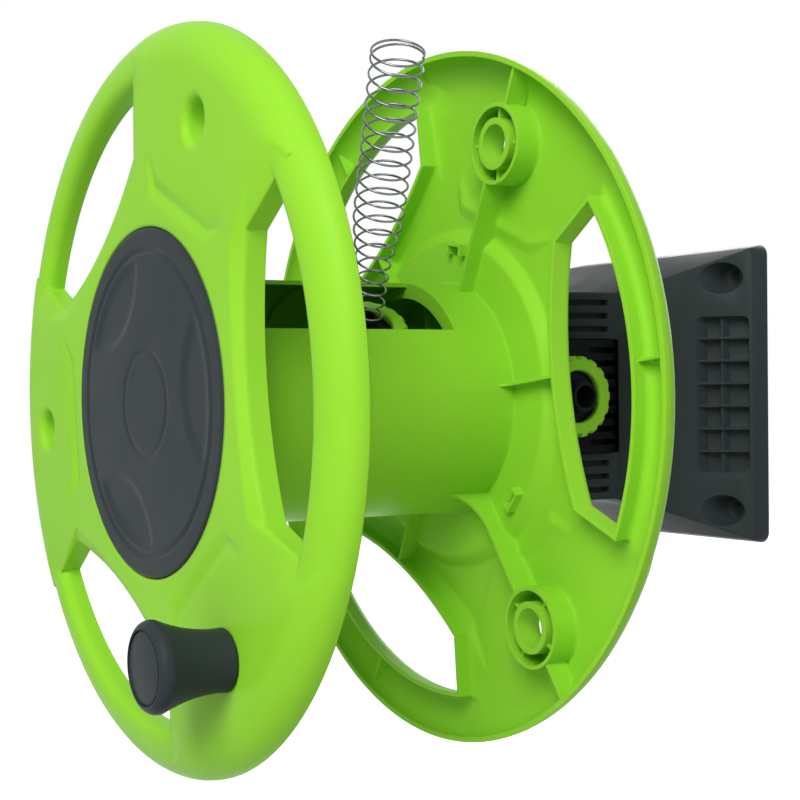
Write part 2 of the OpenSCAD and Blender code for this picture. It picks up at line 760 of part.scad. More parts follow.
// Hollow axle that carries the spool and feeds the union
port_d = 9;
module water_axle() {
    color(ink) difference() {
        on_axle(socket_out) cylinder(d = axle_d, h = axle_tip_out - socket_out);
        on_axle(socket_out - 1) cylinder(d = axle_bore_d, h = outlet_out + axle_bore_d / 2 - socket_out + 1);
        on_axle(outlet_out) for (q = [0, 90]) rotate([90, 0, q]) translate([0, 0, -axle_d])
            cylinder(d = port_d, h = 2 * axle_d);
        for (out = [outlet_out - o_ring_pitch, outlet_out + o_ring_pitch, seal_out])
            on_axle(out) groove_ring(o_groove_depth, o_groove_w);
        on_axle(axle_tip_out - axle_tip_land - ring_t / 2) groove_ring(ring_groove_depth, ring_t + fit_gap);
        translate([0, -axle_pin_out, -axle_d])
            cylinder(d = axle_pin_d + fit_gap, h = axle_d / 2 + axle_pin_bite);
    }
}
module o_ring() {
    rotate_extrude() translate([axle_d / 2 - o_groove_depth + (o_ring_cord + o_ring_bite) / 2, 0])
        circle(d = o_ring_cord, $fn = 24);
}
module union_o_rings() {
    color(rubber_black) for (side = [-1, 1]) on_axle(outlet_out + side * o_ring_pitch) o_ring();
}
module axle_seal() { color(rubber_black) on_axle(seal_out) o_ring(); }

// Washer and retaining ring at the axle's front end
washer_reach = 7;
ring_reach = 4;
ring_mouth = 0.8;
module axle_washer() {
    color(steel) front_frame() translate([0, 0, washer_z]) difference() {
        cylinder(r = axle_d / 2 + washer_reach, h = washer_t);
        translate([0, 0, -1]) cylinder(r = axle_d / 2 + fit_gap, h = washer_t + 2);
    }
}
module axle_ring() {
    inner = axle_d / 2 - ring_groove_depth + fit_gap / 2;
    color(steel) front_frame() translate([0, 0, ring_z]) difference() {
        cylinder(r = axle_d / 2 + ring_reach, h = ring_t);
        translate([0, 0, -1]) cylinder(r = inner, h = ring_t + 2);
        translate([-inner * ring_mouth, 0, -1]) cube([2 * inner * ring_mouth, 2 * axle_d, ring_t + 2]);
    }
}

// Frames of the two hose couplings: z runs along the hose
module outlet_frame() {
    translate([0, -outlet_out, 0]) rotate([0, outlet_clock, 0]) rotate([outlet_lean, 0, 0]) children();
}
module inlet_frame() {
    translate([0, -inlet_out, 0]) rotate([0, 90, 0]) children();
}

nut_lip = 4;
nut_thread_r = spigot_d / 2 + fit_gap;
outlet_nut_s = outlet_mouth - nut_l;
inlet_nut_s = block_half_w + 0.5;
function spigot_top(nut_s) = nut_s + nut_l - nut_lip - seat_gap;

// Toothed nut; its mouth is at z = nut_l
notch_w = 3.4;
notch_start = 5;
nut_chamfer = 1;
mouth_chamfer = 0.8;
module hose_nut() {
    r = nut_d / 2;
    mouth_r = nut_mouth_d / 2;
    difference() {
        rotate_extrude() polygon([[nut_thread_r, 0], [r - nut_chamfer, 0], [r, nut_chamfer],
            [r, nut_l - 1.5 * nut_chamfer], [r - 1.5 * nut_chamfer, nut_l], [mouth_r + mouth_chamfer, nut_l],
            [mouth_r, nut_l - mouth_chamfer], [mouth_r, nut_l - nut_lip], [nut_thread_r, nut_l - nut_lip]]);
        for (i = [0:nut_teeth - 1]) rotate([0, 0, i * 360 / nut_teeth])
            translate([r - nut_notch, -notch_w / 2, notch_start]) cube([nut_notch + 2, notch_w, nut_l]);
    }
}
module outlet_nut() { color(lime) outlet_frame() translate([0, 0, outlet_nut_s]) hose_nut(); }
module inlet_nut() { color(lime) inlet_frame() translate([0, 0, inlet_nut_s]) hose_nut(); }

// Hose tail that sits in a spigot's socket, with three barbs from the spigot's top to its tip at z1
barb_step = 0.4;
barbs = 3;
tail_tip = 1;
tail_seat = 16;
module hose_tail(d, bore, top, z1) {
    low = d / 2 - barb_step;
    z0 = top - tail_seat;
    barb_l = (z1 - tail_tip - top - seat_gap) / barbs;
    difference() {
        rotate_extrude() polygon(concat(
            [[0, z0], [low, z0]],
            [for (i = [barbs:-1:1]) let (z = z1 - tail_tip - i * barb_l)
                each [[low, z], [d / 2, z], [low, z + barb_l]]],
            [[low - tail_tip / 2, z1], [0, z1]]));
        translate([0, 0, z0 - 1]) cylinder(d = bore, h = z1 - z0 + 2);
    }
}
outlet_tail_d = 13.4;
outlet_tail_bore_d = 9.6;
outlet_tail_out = 5;
module outlet_tail() {
    color(ink) outlet_frame() hose_tail(outlet_tail_d, outlet_tail_bore_d,
        spigot_top(outlet_nut_s), outlet_mouth + outlet_tail_out);
}
module inlet_tail() {
    color(ink) inlet_frame() hose_tail(tail_d, tail_bore_d,
        spigot_top(inlet_nut_s), inlet_nut_s + nut_l + tail_out);
}

// Rotary union on the axle, with the outlet's threaded spigot
thread_relief = 2.5;
chamber_r = 17;
chamber_w = 11;
module outlet_union() {
    top = spigot_top(outlet_nut_s);
    color(ink) difference() {
        union() {
            on_axle(outlet_out - union_l / 2) cylinder(d = union_d, h = union_l);
            outlet_frame() cylinder(d = spigot_d - 2 * thread_relief, h = outlet_nut_s);
            outlet_frame() translate([0, 0, outlet_nut_s - 1])
                cylinder(d = spigot_d, h = top - outlet_nut_s + 1);
        }
        on_axle(outlet_out - union_l / 2 - 1) cylinder(r = axle_d / 2 + run_gap, h = union_l + 2);
        on_axle(outlet_out - chamber_w / 2) cylinder(r = chamber_r, h = chamber_w);
        outlet_frame() cylinder(d = outlet_tail_bore_d, h = top + 1);
        outlet_frame() translate([0, 0, top - tail_seat])
            cylinder(d = outlet_tail_d - 2 * barb_step + fit_gap, h = tail_seat + 1);
    }
}

// Wire spring that keeps the hose from kinking: one left-handed tube from its foot on the
// spigot to its closed turns at the free end
rings_per_turn = 8;
wire_sides = 6;
foot_s = spigot_top(outlet_nut_s);
foot_rings = 4;
foot_bend_r = 1.6;
spring_r = (spring_d - wire_d) / 2;
spring_foot_r = (spring_foot_d - wire_d) / 2;
spring_all_turns = spring_turns + spring_end_turns;
foot_stem = 1;
foot_seat = 0.02;
spring_start = foot_s + wire_d + foot_bend_r + foot_stem;
function smooth(x) = let (k = min(1, max(0, x))) k * k * (3 - 2 * k);
function coil_r(t) = spring_foot_r
    + (spring_r - spring_foot_r) * smooth((t - spring_narrow_turns) / spring_widen_turns);
closed_pitch = wire_d + spring_end_gap;
function coil_z(t) = let (open = min(t, spring_turns), closed = max(0, t - spring_turns))
    spring_start + open * spring_pitch + closed * closed_pitch;
spring_turn0 = 40;
function coil_point(t) = let (a = spring_turn0 - 360 * t)
    [coil_r(t) * cos(a), coil_r(t) * sin(a), coil_z(t)];
spring_steps = round(spring_all_turns * rings_per_turn);
start_p = coil_point(0);
start_step = coil_point(0.02) - start_p;
start_dir = start_step / norm(start_step);
foot_bend = [for (i = [foot_rings:-1:1]) let (a = 90 * i / foot_rings)
    start_p - foot_bend_r * (sin(a) * start_dir + (1 - cos(a)) * [0, 0, 1])];
foot_end = [foot_bend[0][0], foot_bend[0][1], foot_s + foot_seat];
spring_path = concat([foot_end], foot_bend, [for (i = [0:spring_steps]) coil_point(i / rings_per_turn)]);
function path_dir(p, i) = let (a = p[max(0, i - 1)], b = p[min(len(p) - 1, i + 1)]) (b - a) / norm(b - a);
module wire_tube(p, d) {
    n = len(p);
    m = wire_sides;
    points = [for (i = [0:n - 1]) let (w = i == 0 ? [0, 0, 1] : path_dir(p, i),
            out = [p[i][0], p[i][1], 0], q = out - (out * w) * w, u = q / norm(q), v = cross(w, u))
        for (j = [0:m - 1]) p[i] + d / 2 * (cos(360 * j / m) * u + sin(360 * j / m) * v)];
    sides = [for (i = [0:n - 2], j = [0:m - 1]) let (a = i * m + j, b = i * m + (j + 1) % m)
        each [[a, a + m, b + m], [a, b + m, b]]];
    end_a = [for (j = [1:m - 2]) [0, j, j + 1]];
    end_b = [for (j = [1:m - 2]) let (k = (n - 1) * m) [k, k + j + 1, k + j]];
    polyhedron(concat(points), concat(sides, end_a, end_b));
}
spring_last = len(spring_path) - 1;
spring_gap = min([for (i = [0:spring_last])
    for (j = [i + rings_per_turn - 3:1:min(i + rings_per_turn + 3, spring_last)])
        norm(spring_path[i] - spring_path[j])]) - wire_d;
echo(spring_least_gap = spring_gap);
module hose_spring() { color(steel) outlet_frame() wire_tube(spring_path, wire_d); }

// Knob frame: origin at the lobe hole's mouth, z into the flange
knob_lobe = 1;
module knob_frame() {
    front_frame() clock(lobe_clock + knob_lobe * lobe_step) translate([0, lobe_hole_r, 0]) children();
}
shoulder_r = 13.2;
shoulder_h = 3;
stud_top = 31;
stud_thread_d = 15;
stud_nut_h = 5;
module knob_stud() {
    color(ink) knob_frame() difference() {
        union() {
            translate([0, 0, -stud_top]) cylinder(d = stud_d, h = stud_top);
            translate([0, 0, -shoulder_h]) cylinder(r = shoulder_r, h = shoulder_h + 0.2);
            cylinder(d = lobe_hole_d - 2 * fit_gap, h = flange_depth - 1);
            cylinder(d = stud_thread_d, h = flange_depth + stud_nut_h + 2);
        }
        translate([0, 0, -stud_top - 1]) cylinder(d = retainer_d + fit_gap, h = retainer_l + 2);
    }
}
module knob_stud_nut() {
    color(ink) knob_frame() translate([0, 0, flange_depth]) difference() {
        cylinder(d = boss_d - 1, h = stud_nut_h, $fn = 6);
        translate([0, 0, -1]) cylinder(d = stud_thread_d + fit_gap, h = stud_nut_h + 2);
    }
}
retainer_d = 5;
retainer_l = 16;
retainer_head_d = 17;
retainer_head_h = 3.2;
knob_foot = 0.4;
knob_round = 5;
knob_edge = 0.6;
disc_t = 2.2;
disc_inset = 0.6;
disc_seat = 2.8;
module knob_grip() {
    top = -knob_foot - knob_l;
    seat = -stud_top + seat_gap;
    end_r = knob_end_d / 2;
    flare_l = knob_l - knob_waist_z - knob_round - 1.5;
    flare = [for (i = [0:10]) let (k = i / 10)
        [knob_waist_d / 2 + (end_r - knob_waist_d / 2) * k * k, -knob_foot - knob_waist_z - flare_l * k]];
    color(graphite) knob_frame() difference() {
        rotate_extrude() polygon(concat(
            [[0, -knob_foot], [knob_base_d / 2 - knob_edge, -knob_foot],
             [knob_base_d / 2, -knob_foot - knob_edge], [knob_base_d / 2 - 0.2, -knob_foot - 3]],
            flare,
            arc([end_r - knob_round, top + knob_round], knob_round, 360, 270, 7),
            [[knob_disc_d / 2 + knob_edge, top], [knob_disc_d / 2 + fit_gap, top + knob_edge],
             [0, top + knob_edge]]));
        translate([0, 0, top - 1]) cylinder(d = knob_disc_d + 2 * fit_gap, h = 1 + disc_seat);
        translate([0, 0, top]) cylinder(d = retainer_head_d + 2, h = seat - top);
        translate([0, 0, top]) cylinder(r = stud_d / 2 + run_gap, h = knob_l + 2);
        translate([0, 0, -shoulder_h - seat_gap]) cylinder(r = shoulder_r + seat_gap, h = shoulder_h + 2);
    }
}
module knob_retainer() {
    color(steel) knob_frame() translate([0, 0, -stud_top]) difference() {
        union() {
            translate([0, 0, -retainer_head_h]) cylinder(d = retainer_head_d, h = retainer_head_h);
            translate([0, 0, -eps]) cylinder(d = retainer_d, h = retainer_l);
        }
        cross_slot(retainer_head_d * 0.35, -retainer_head_h);
    }
}
module knob_end_disc() {
    top = -knob_foot - knob_l + disc_inset;
    color(graphite) knob_frame() rotate_extrude() polygon([[0, top], [knob_disc_d / 2 - knob_edge, top],
        [knob_disc_d / 2, top + knob_edge], [knob_disc_d / 2, top + disc_t], [0, top + disc_t]]);
}

// Swivel block: hinge barrel, water ways and the seat of the axle
block_front_out = -rear_face_y - block_to_flange;
thrust_t = 1.2;
nose_out = -rear_face_y + recess_depth - bush_flange_t - seat_gap - thrust_t;
barrel_grooves = 8;
groove_reach = 6;
module swivel_block() {
    color(ink) difference() {
        union() {
            translate([-block_half_w, -block_front_out, -block_half_h])
                cube([2 * block_half_w, block_front_out - hinge_out, 2 * block_half_h]);
            translate([0, -hinge_out, -block_half_h]) cylinder(r = barrel_r, h = 2 * block_half_h);
            on_axle(block_front_out - 1) cylinder(d = nose_d, h = nose_out - block_front_out + 1);
            inlet_frame() cylinder(d = spigot_d, h = spigot_top(inlet_nut_s));
        }
        on_axle(socket_out) cylinder(d = axle_d + fit_gap, h = nose_out);
        on_axle(inlet_out - tail_bore_d / 2) cylinder(d = axle_bore_d, h = nose_out);
        inlet_frame() translate([0, 0, -tail_bore_d / 2]) cylinder(d = tail_bore_d, h = 2 * nut_d);
        inlet_frame() translate([0, 0, spigot_top(inlet_nut_s) - tail_seat])
            cylinder(d = tail_d - 2 * barb_step + fit_gap, h = tail_seat + 1);
        translate([0, -hinge_out, -block_half_h - 1])
            cylinder(r = pin_d / 2 + run_gap, h = 2 * block_half_h + 2);
        translate([0, -axle_pin_out, -block_half_h - 1]) cylinder(d = axle_pin_d + fit_gap, h = block_half_h);
        for (i = [0:barrel_grooves - 1]) translate([0, 0, (i - (barrel_grooves - 1) / 2) * groove_pitch])
            difference() {
                translate([-barrel_r - 1, -hinge_out - groove_reach, -groove_h / 2])
                    cube([2 * barrel_r + 2, barrel_r + groove_reach + 1, groove_h]);
                translate([0, -hinge_out, -groove_h]) cylinder(r = barrel_r - groove_depth, h = 2 * groove_h);
            }
    }
}
module axle_pin() {
    color(steel) translate([0, -axle_pin_out, -block_half_h + 1])
        cylinder(d = axle_pin_d, h = block_half_h - 1 - axle_d / 2 + axle_pin_bite - 0.3);
}
module thrust_washer() {
    color(steel) on_axle(nose_out) difference() {
        cylinder(d = nose_d - 2, h = thrust_t);
        translate([0, 0, -1]) cylinder(r = axle_d / 2 + fit_gap, h = thrust_t + 2);
    }
}

// Hinge pin, pressed into both arms, with its head below
head_gap = 0.3;
upper_stop = 4;
pin_washer_t = 2;
pin_washer_reach = 2;
pin_head_taper = 1;
module hinge_pin() {
    low = -arm_half_h - head_gap;
    color(ink) translate([0, -hinge_out, 0]) {
        translate([0, 0, low]) cylinder(d = pin_d, h = arm_half_h - upper_stop - seat_gap - low);
        translate([0, 0, low - pin_washer_t])
            cylinder(d = pin_head_d + 2 * pin_washer_reach, h = pin_washer_t + eps);
        translate([0, 0, low - pin_washer_t - pin_head_h])
            cylinder(d1 = pin_head_d - 2 * pin_head_taper, d2 = pin_head_d, h = pin_head_h + eps);
    }
}

// Wall bracket: sloping shell with two arms, screw seats and ladder pockets
screw_dx = plate_w - 2 * screw_inset_x;
screw_dz = plate_h - 2 * screw_inset_z;
slope_run = 35.3;
slope_x = plate_w / 2 - slope_run;
slope_out = 45.2;
throat_x = 28;
throat_out = 66.2;
mid_inset = 18;
mid_half_h = plate_h / 2 - mid_inset;
edge_draft = 2.5;
plate_round = 6.5;
ladder_edge = 1.6;
ladder_w = 21.7;
ladder_x1 = plate_w / 2 - ladder_edge;
ladder_x0 = ladder_x1 - ladder_w;
ladder_half_h = 46;
ladder_depth = 9;
ladder_web = 1;
ladder_web_part = 0.4;
ladder_web_drop = 3.5;
ladder_round = 3;
ladder_setback = 1.2;
slot_pitch = 7.8;
slot_h = 3.2;
slot_depth = 5;
slot_end_out = 71.2;
arm_slots = 3;
pocket_gap = 2.6;
core_out = 38;
core_reach = 2;
core_half_w = slope_x + core_reach;
core_inset = 25;
core_half_h = plate_h / 2 - core_inset;
core_web = 3;
core_cols = 3;
core_rows = 4;
pin_press = 0.04;

function side_slope(x) =
    plate_edge + (slope_out - plate_edge) * (plate_w / 2 - x) / (plate_w / 2 - slope_x);
module top_profile() {
    half = [[plate_w / 2, 0], [plate_w / 2, plate_edge], [slope_x, slope_out], [throat_x, throat_out],
        [throat_x, hinge_out]];
    right = [for (p = half) [p[0], -p[1]]];
    left = [for (i = [len(half) - 1:-1:0]) [-half[i][0], -half[i][1]]];
    polygon(concat(right, left));
}
module side_profile() {
    rear = [[0, plate_h / 2], [plate_edge, plate_h / 2 - edge_draft], [slope_out, mid_half_h],
        [throat_out, arm_half_h], [hinge_out + arm_r + 1, arm_half_h]];
    polygon(concat(
        [for (p = rear) [-p[0], p[1]]],
        [for (i = [len(rear) - 1:-1:0]) [-rear[i][0], -rear[i][1]]]));
}
module round_box(x0, x1, half_h, r) {
    a = x0 + r;
    b = x1 - r;
    h = half_h - r;
    polygon(concat(arc([b, h], r, 0, 90, 5), arc([a, h], r, 90, 180, 5),
        arc([a, -h], r, 180, 270, 5), arc([b, -h], r, 270, 360, 5)));
}
module bracket_body() {
    intersection() {
        union() {
            translate([0, 0, -plate_h / 2]) linear_extrude(plate_h) top_profile();
            translate([0, -hinge_out, -arm_half_h]) cylinder(r = arm_r, h = 2 * arm_half_h);
        }
        translate([-plate_w / 2 - 1, 0, 0]) rotate([90, 0, 90]) linear_extrude(plate_w + 2) side_profile();
        rotate([90, 0, 0]) linear_extrude(hinge_out + arm_r + 2)
            round_box(-plate_w / 2, plate_w / 2, plate_h / 2, plate_round);
    }
}

// Slice of the room over a floor that lies a depth under the sloping side, from x_a to x_b
module slope_slice(x_a, x_b, depth, z0, h) {
    translate([0, 0, z0]) linear_extrude(h) polygon([
        [x_a, -slope_out - 1], [x_a, depth - side_slope(x_a)],
        [x_b, depth - side_slope(x_b)], [x_b, -slope_out - 1]]);
}

// One ladder pocket, cut between its cross ribs and the upright web that lies under their edges
module ladder_pocket() {
    bay_h = 2 * ladder_half_h / (ladder_ribs + 1);
    near_w = ladder_web_part * ladder_w - ladder_web / 2;
    far_x = ladder_x0 + near_w + ladder_web;
    intersection() {
        union() {
            for (i = [0:ladder_ribs]) {
                foot = -ladder_half_h + i * bay_h + ladder_rib_t / 2;
                clear_h = bay_h - ladder_rib_t;
                slope_slice(ladder_x0, ladder_x0 + near_w, ladder_depth, foot, clear_h);
                slope_slice(far_x, ladder_x1, ladder_depth, foot, clear_h);
                slope_slice(ladder_x0, ladder_x1, ladder_web_drop, foot, clear_h);
            }
            slope_slice(ladder_x0, ladder_x1, ladder_setback, -ladder_half_h, 2 * ladder_half_h);
        }
        rotate([90, 0, 0]) linear_extrude(slope_out + 1)
            round_box(ladder_x0, ladder_x1, ladder_half_h - ladder_rib_t / 2, ladder_round);
    }
}
module arm_slot() {
    difference() {
        translate([-arm_r - 1, -hinge_out - arm_r - 1, -slot_h / 2])
            cube([2 * arm_r + 2, hinge_out + arm_r + 1 - slot_end_out, slot_h]);
        translate([0, -hinge_out, -slot_h]) cylinder(r = arm_r - slot_depth, h = 2 * slot_h);
        translate([-arm_r + slot_depth, -hinge_out, -slot_h])
            cube([2 * (arm_r - slot_depth), arm_r, 2 * slot_h]);
    }
}

// Hollow cells in the back of the plate
module core_cells() {
    cell_w = (2 * core_half_w - (core_cols - 1) * core_web) / core_cols;
    cell_h = (2 * core_half_h - (core_rows - 1) * core_web) / core_rows;
    for (i = [0:core_cols - 1], j = [0:core_rows - 1])
        translate([-core_half_w + i * (cell_w + core_web), -core_out, -core_half_h + j * (cell_h + core_web)])
            cube([cell_w, core_out + 1, cell_h]);
}
module wall_bracket() {
    pocket_r = barrel_r + pocket_gap;
    gap_h = block_half_h + arm_gap;
    color(graphite) difference() {
        bracket_body();
        translate([0, -hinge_out, -gap_h]) cylinder(r = pocket_r, h = 2 * gap_h);
        translate([-pocket_r, -hinge_out - 2 * arm_r, -gap_h]) cube([2 * pocket_r, 2 * arm_r, 2 * gap_h]);
        translate([0, -hinge_out, -arm_half_h - 1])
            cylinder(d = pin_d + pin_press, h = 2 * arm_half_h - upper_stop + 1);
        for (sx = [-1, 1], sz = [-1, 1])
            translate([sx * screw_dx / 2, 0, sz * screw_dz / 2]) rotate([90, 0, 0]) {
                translate([0, 0, -1]) cylinder(d = screw_hole_d, h = slope_out);
                translate([0, 0, screw_floor]) cylinder(d = counterbore_d, h = slope_out);
            }
        for (side = [0, 1]) mirror([side, 0, 0]) ladder_pocket();
        for (side = [-1, 1], i = [0:arm_slots - 1]) {
            slot_z = (gap_h + arm_half_h) / 2 + (i - (arm_slots - 1) / 2) * slot_pitch;
            translate([0, 0, side * slot_z]) arm_slot();
        }
        core_cells();
    }
}

front_half();
rear_half();
centre_cap();
drum_screws();
front_bush();
rear_bush();
water_axle();
axle_washer();
axle_ring();
union_o_rings();
outlet_union();
outlet_tail();
outlet_nut();
hose_spring();
knob_stud();
knob_stud_nut();
knob_grip();
knob_retainer();
knob_end_disc();
swivel_block();
axle_seal();
axle_pin();
thrust_washer();
inlet_tail();
inlet_nut();
hinge_pin();
wall_bracket();
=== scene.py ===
"""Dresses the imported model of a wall-mounted garden hose reel.

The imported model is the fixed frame. This script gives each of its pieces a finish, replaces the
mouldings that show with softened ones, winds a smooth wire spring, and sets up a pale studio.
All sizes are in metres. +Z is up, +Y points into the wall, and the reel stands out along -Y.
"""

from __future__ import annotations

import json
import logging
import math
from contextlib import contextmanager
from dataclasses import dataclass, replace
from enum import Enum
from typing import ClassVar, Iterator, Sequence

import bpy
from mathutils import Matrix, Vector

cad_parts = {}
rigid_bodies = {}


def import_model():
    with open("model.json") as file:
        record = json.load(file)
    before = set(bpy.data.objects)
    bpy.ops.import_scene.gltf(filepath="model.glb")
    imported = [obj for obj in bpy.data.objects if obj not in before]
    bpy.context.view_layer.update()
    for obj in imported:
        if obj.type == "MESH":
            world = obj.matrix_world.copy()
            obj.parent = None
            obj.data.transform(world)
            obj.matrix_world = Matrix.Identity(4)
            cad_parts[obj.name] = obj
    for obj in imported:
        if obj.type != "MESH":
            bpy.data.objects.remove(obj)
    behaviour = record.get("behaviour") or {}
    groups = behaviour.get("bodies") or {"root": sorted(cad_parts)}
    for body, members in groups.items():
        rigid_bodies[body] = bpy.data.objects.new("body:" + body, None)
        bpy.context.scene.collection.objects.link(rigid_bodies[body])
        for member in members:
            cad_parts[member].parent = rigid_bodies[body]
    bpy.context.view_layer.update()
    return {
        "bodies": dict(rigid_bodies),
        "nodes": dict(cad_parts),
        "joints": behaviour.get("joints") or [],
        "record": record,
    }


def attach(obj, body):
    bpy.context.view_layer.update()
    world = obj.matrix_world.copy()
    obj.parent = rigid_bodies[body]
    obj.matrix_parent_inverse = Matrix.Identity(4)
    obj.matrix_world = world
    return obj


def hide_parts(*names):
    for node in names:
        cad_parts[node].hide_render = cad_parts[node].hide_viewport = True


LOG = logging.getLogger("hose_reel")
MM = 0.001
Point = tuple[float, float]
Triple = tuple[float, float, float]
Colour = Triple

# Places of a mix node's colour sockets, whose names its other sockets share.
MIX_FIRST, MIX_SECOND, MIX_RESULT = 6, 7, 2


class Body(Enum):
    """The bodies that a piece can ride on."""

    BRACKET = "bracket"
    SWIVEL = "swivel"
    SPOOL = "spool"
    KNOB = "knob"
    INLET = "inlet_coupling"
    OUTLET = "outlet_coupling"


class Slot(Enum):
    """The record's material slots."""

    LIME = "lime_plastic"
    GRAPHITE = "graphite_plastic"
    BLACK = "black_plastic"
    STEEL = "zinc_steel"
    RUBBER = "seal_rubber"


@dataclass(frozen=True)
class FlangeFace:
    """Smooth outer face of one of the spool's flanges.

    Attributes:
        y: The row's Y of the face.
        inwards: Sign of the row's Y from the face inwards.
    """

    y: float
    inwards: float

    def at(self, depth: float) -> float:
        """The row's Y at a depth under the face."""
        return self.y + self.inwards * depth

    def depth(self, y: float) -> float:
        """Depth of the row's Y under the face."""
        return (y - self.y) * self.inwards


FRONT_FACE = FlangeFace(-355.5 * MM, 1.0)
REAR_FACE = FlangeFace(-159.5 * MM, -1.0)


def axis_frame(y: float) -> Matrix:
    """Frame of a turned piece on the reel's axis, which runs out of the wall.

    Args:
        y: The row's Y of the frame's origin.

    Returns:
        Matrix that takes local Z to the row's -Y and local Y to the row's +Z.
    """
    turn = Matrix(((1, 0, 0, 0), (0, 0, -1, 0), (0, 1, 0, 0), (0, 0, 0, 1)))
    return Matrix.Translation((0, y, 0)) @ turn


def mapped(tree: bpy.types.NodeTree, span: Point, onto: Point = (0.0, 1.0)) -> bpy.types.Node:
    """Adds a node that maps one span of values onto another.

    Args:
        tree: Node tree that gets the node.
        span: Where the incoming values start and end.
        onto: What those two become.

    Returns:
        The node, which takes its Value and gives its Result.
    """
    node = tree.nodes.new("ShaderNodeMapRange")
    for key, value in zip(("From Min", "From Max", "To Min", "To Max"), (*span, *onto)):
        node.inputs[key].default_value = value
    return node


class Bench:
    """Small modelling steps that every sub-assembly shares."""

    @staticmethod
    def clear() -> None:
        """Leaves nothing selected."""
        bpy.ops.object.select_all(action="DESELECT")

    @staticmethod
    def take(piece: bpy.types.Object) -> bpy.types.Object:
        """Selects one object alone and makes it active.

        Args:
            piece: Object to work on.

        Returns:
            The same object.
        """
        Bench.clear()
        piece.select_set(True)
        bpy.context.view_layer.objects.active = piece
        return piece

    @staticmethod
    @contextmanager
    def editing(piece: bpy.types.Object) -> Iterator[None]:
        """Edit mode on one object, with all of its mesh selected.

        Args:
            piece: Object to edit.
        """
        Bench.take(piece)
        bpy.ops.object.mode_set(mode="EDIT")
        bpy.ops.mesh.select_all(action="SELECT")
        yield
        bpy.ops.object.mode_set(mode="OBJECT")

    @staticmethod
    def finish_modifier(piece: bpy.types.Object, kind: str, **settings: object) -> None:
        """Adds a modifier and applies it.

        Args:
            piece: Object that is shaped.
            kind: Blender's name for the modifier's type.
            **settings: The modifier's properties.
        """
        Bench.take(piece)
        modifier = piece.modifiers.new(kind.lower(), kind)
        for key, value in settings.items():
            setattr(modifier, key, value)
        bpy.ops.object.modifier_apply(modifier=modifier.name)

    @staticmethod
    def place(piece: bpy.types.Object, frame: Matrix) -> None:
        """Moves a piece's mesh to its place and leaves its object at the origin.

        Args:
            piece: Object that was modelled in its own frame.
            frame: Where that frame lies in the row.
        """
        Bench.take(piece)
        piece.matrix_world = frame
        bpy.ops.object.transform_apply(location=True, rotation=True, scale=True)

    @staticmethod
    def smooth(piece: bpy.types.Object, degrees: float) -> None:
        """Shades a piece smooth up to an angle."""
        Bench.take(piece)
        bpy.ops.object.shade_smooth_by_angle(angle=math.radians(degrees))

    @staticmethod
    def turned(name: str, profile: Sequence[Point], steps: int) -> bpy.types.Object:
        """Turns a closed piece about Z, ring by ring.

        Args:
            name: Name of the piece.
            profile: Radius and height of each ring, from the bottom up.
            steps: Number of points round a ring.

        Returns:
            The turned piece, in its own frame.
        """
        Bench.clear()
        radius, height = profile[0]
        bpy.ops.mesh.primitive_circle_add(
            vertices=steps, radius=radius, location=(0, 0, 0), fill_type="NGON"
        )
        piece = bpy.context.active_object
        piece.name = piece.data.name = name
        with Bench.editing(piece):
            bpy.ops.transform.translate(value=(0, 0, height))
            for next_radius, next_height in profile[1:]:
                bpy.ops.mesh.extrude_region_move(
                    TRANSFORM_OT_translate={"value": (0, 0, next_height - height)}
                )
                factor = next_radius / radius
                bpy.ops.transform.resize(
                    value=(factor, factor, 1), center_override=(0, 0, next_height)
                )
                radius, height = next_radius, next_height
            bpy.ops.mesh.select_all(action="SELECT")
            bpy.ops.mesh.normals_make_consistent(inside=False)
        return piece


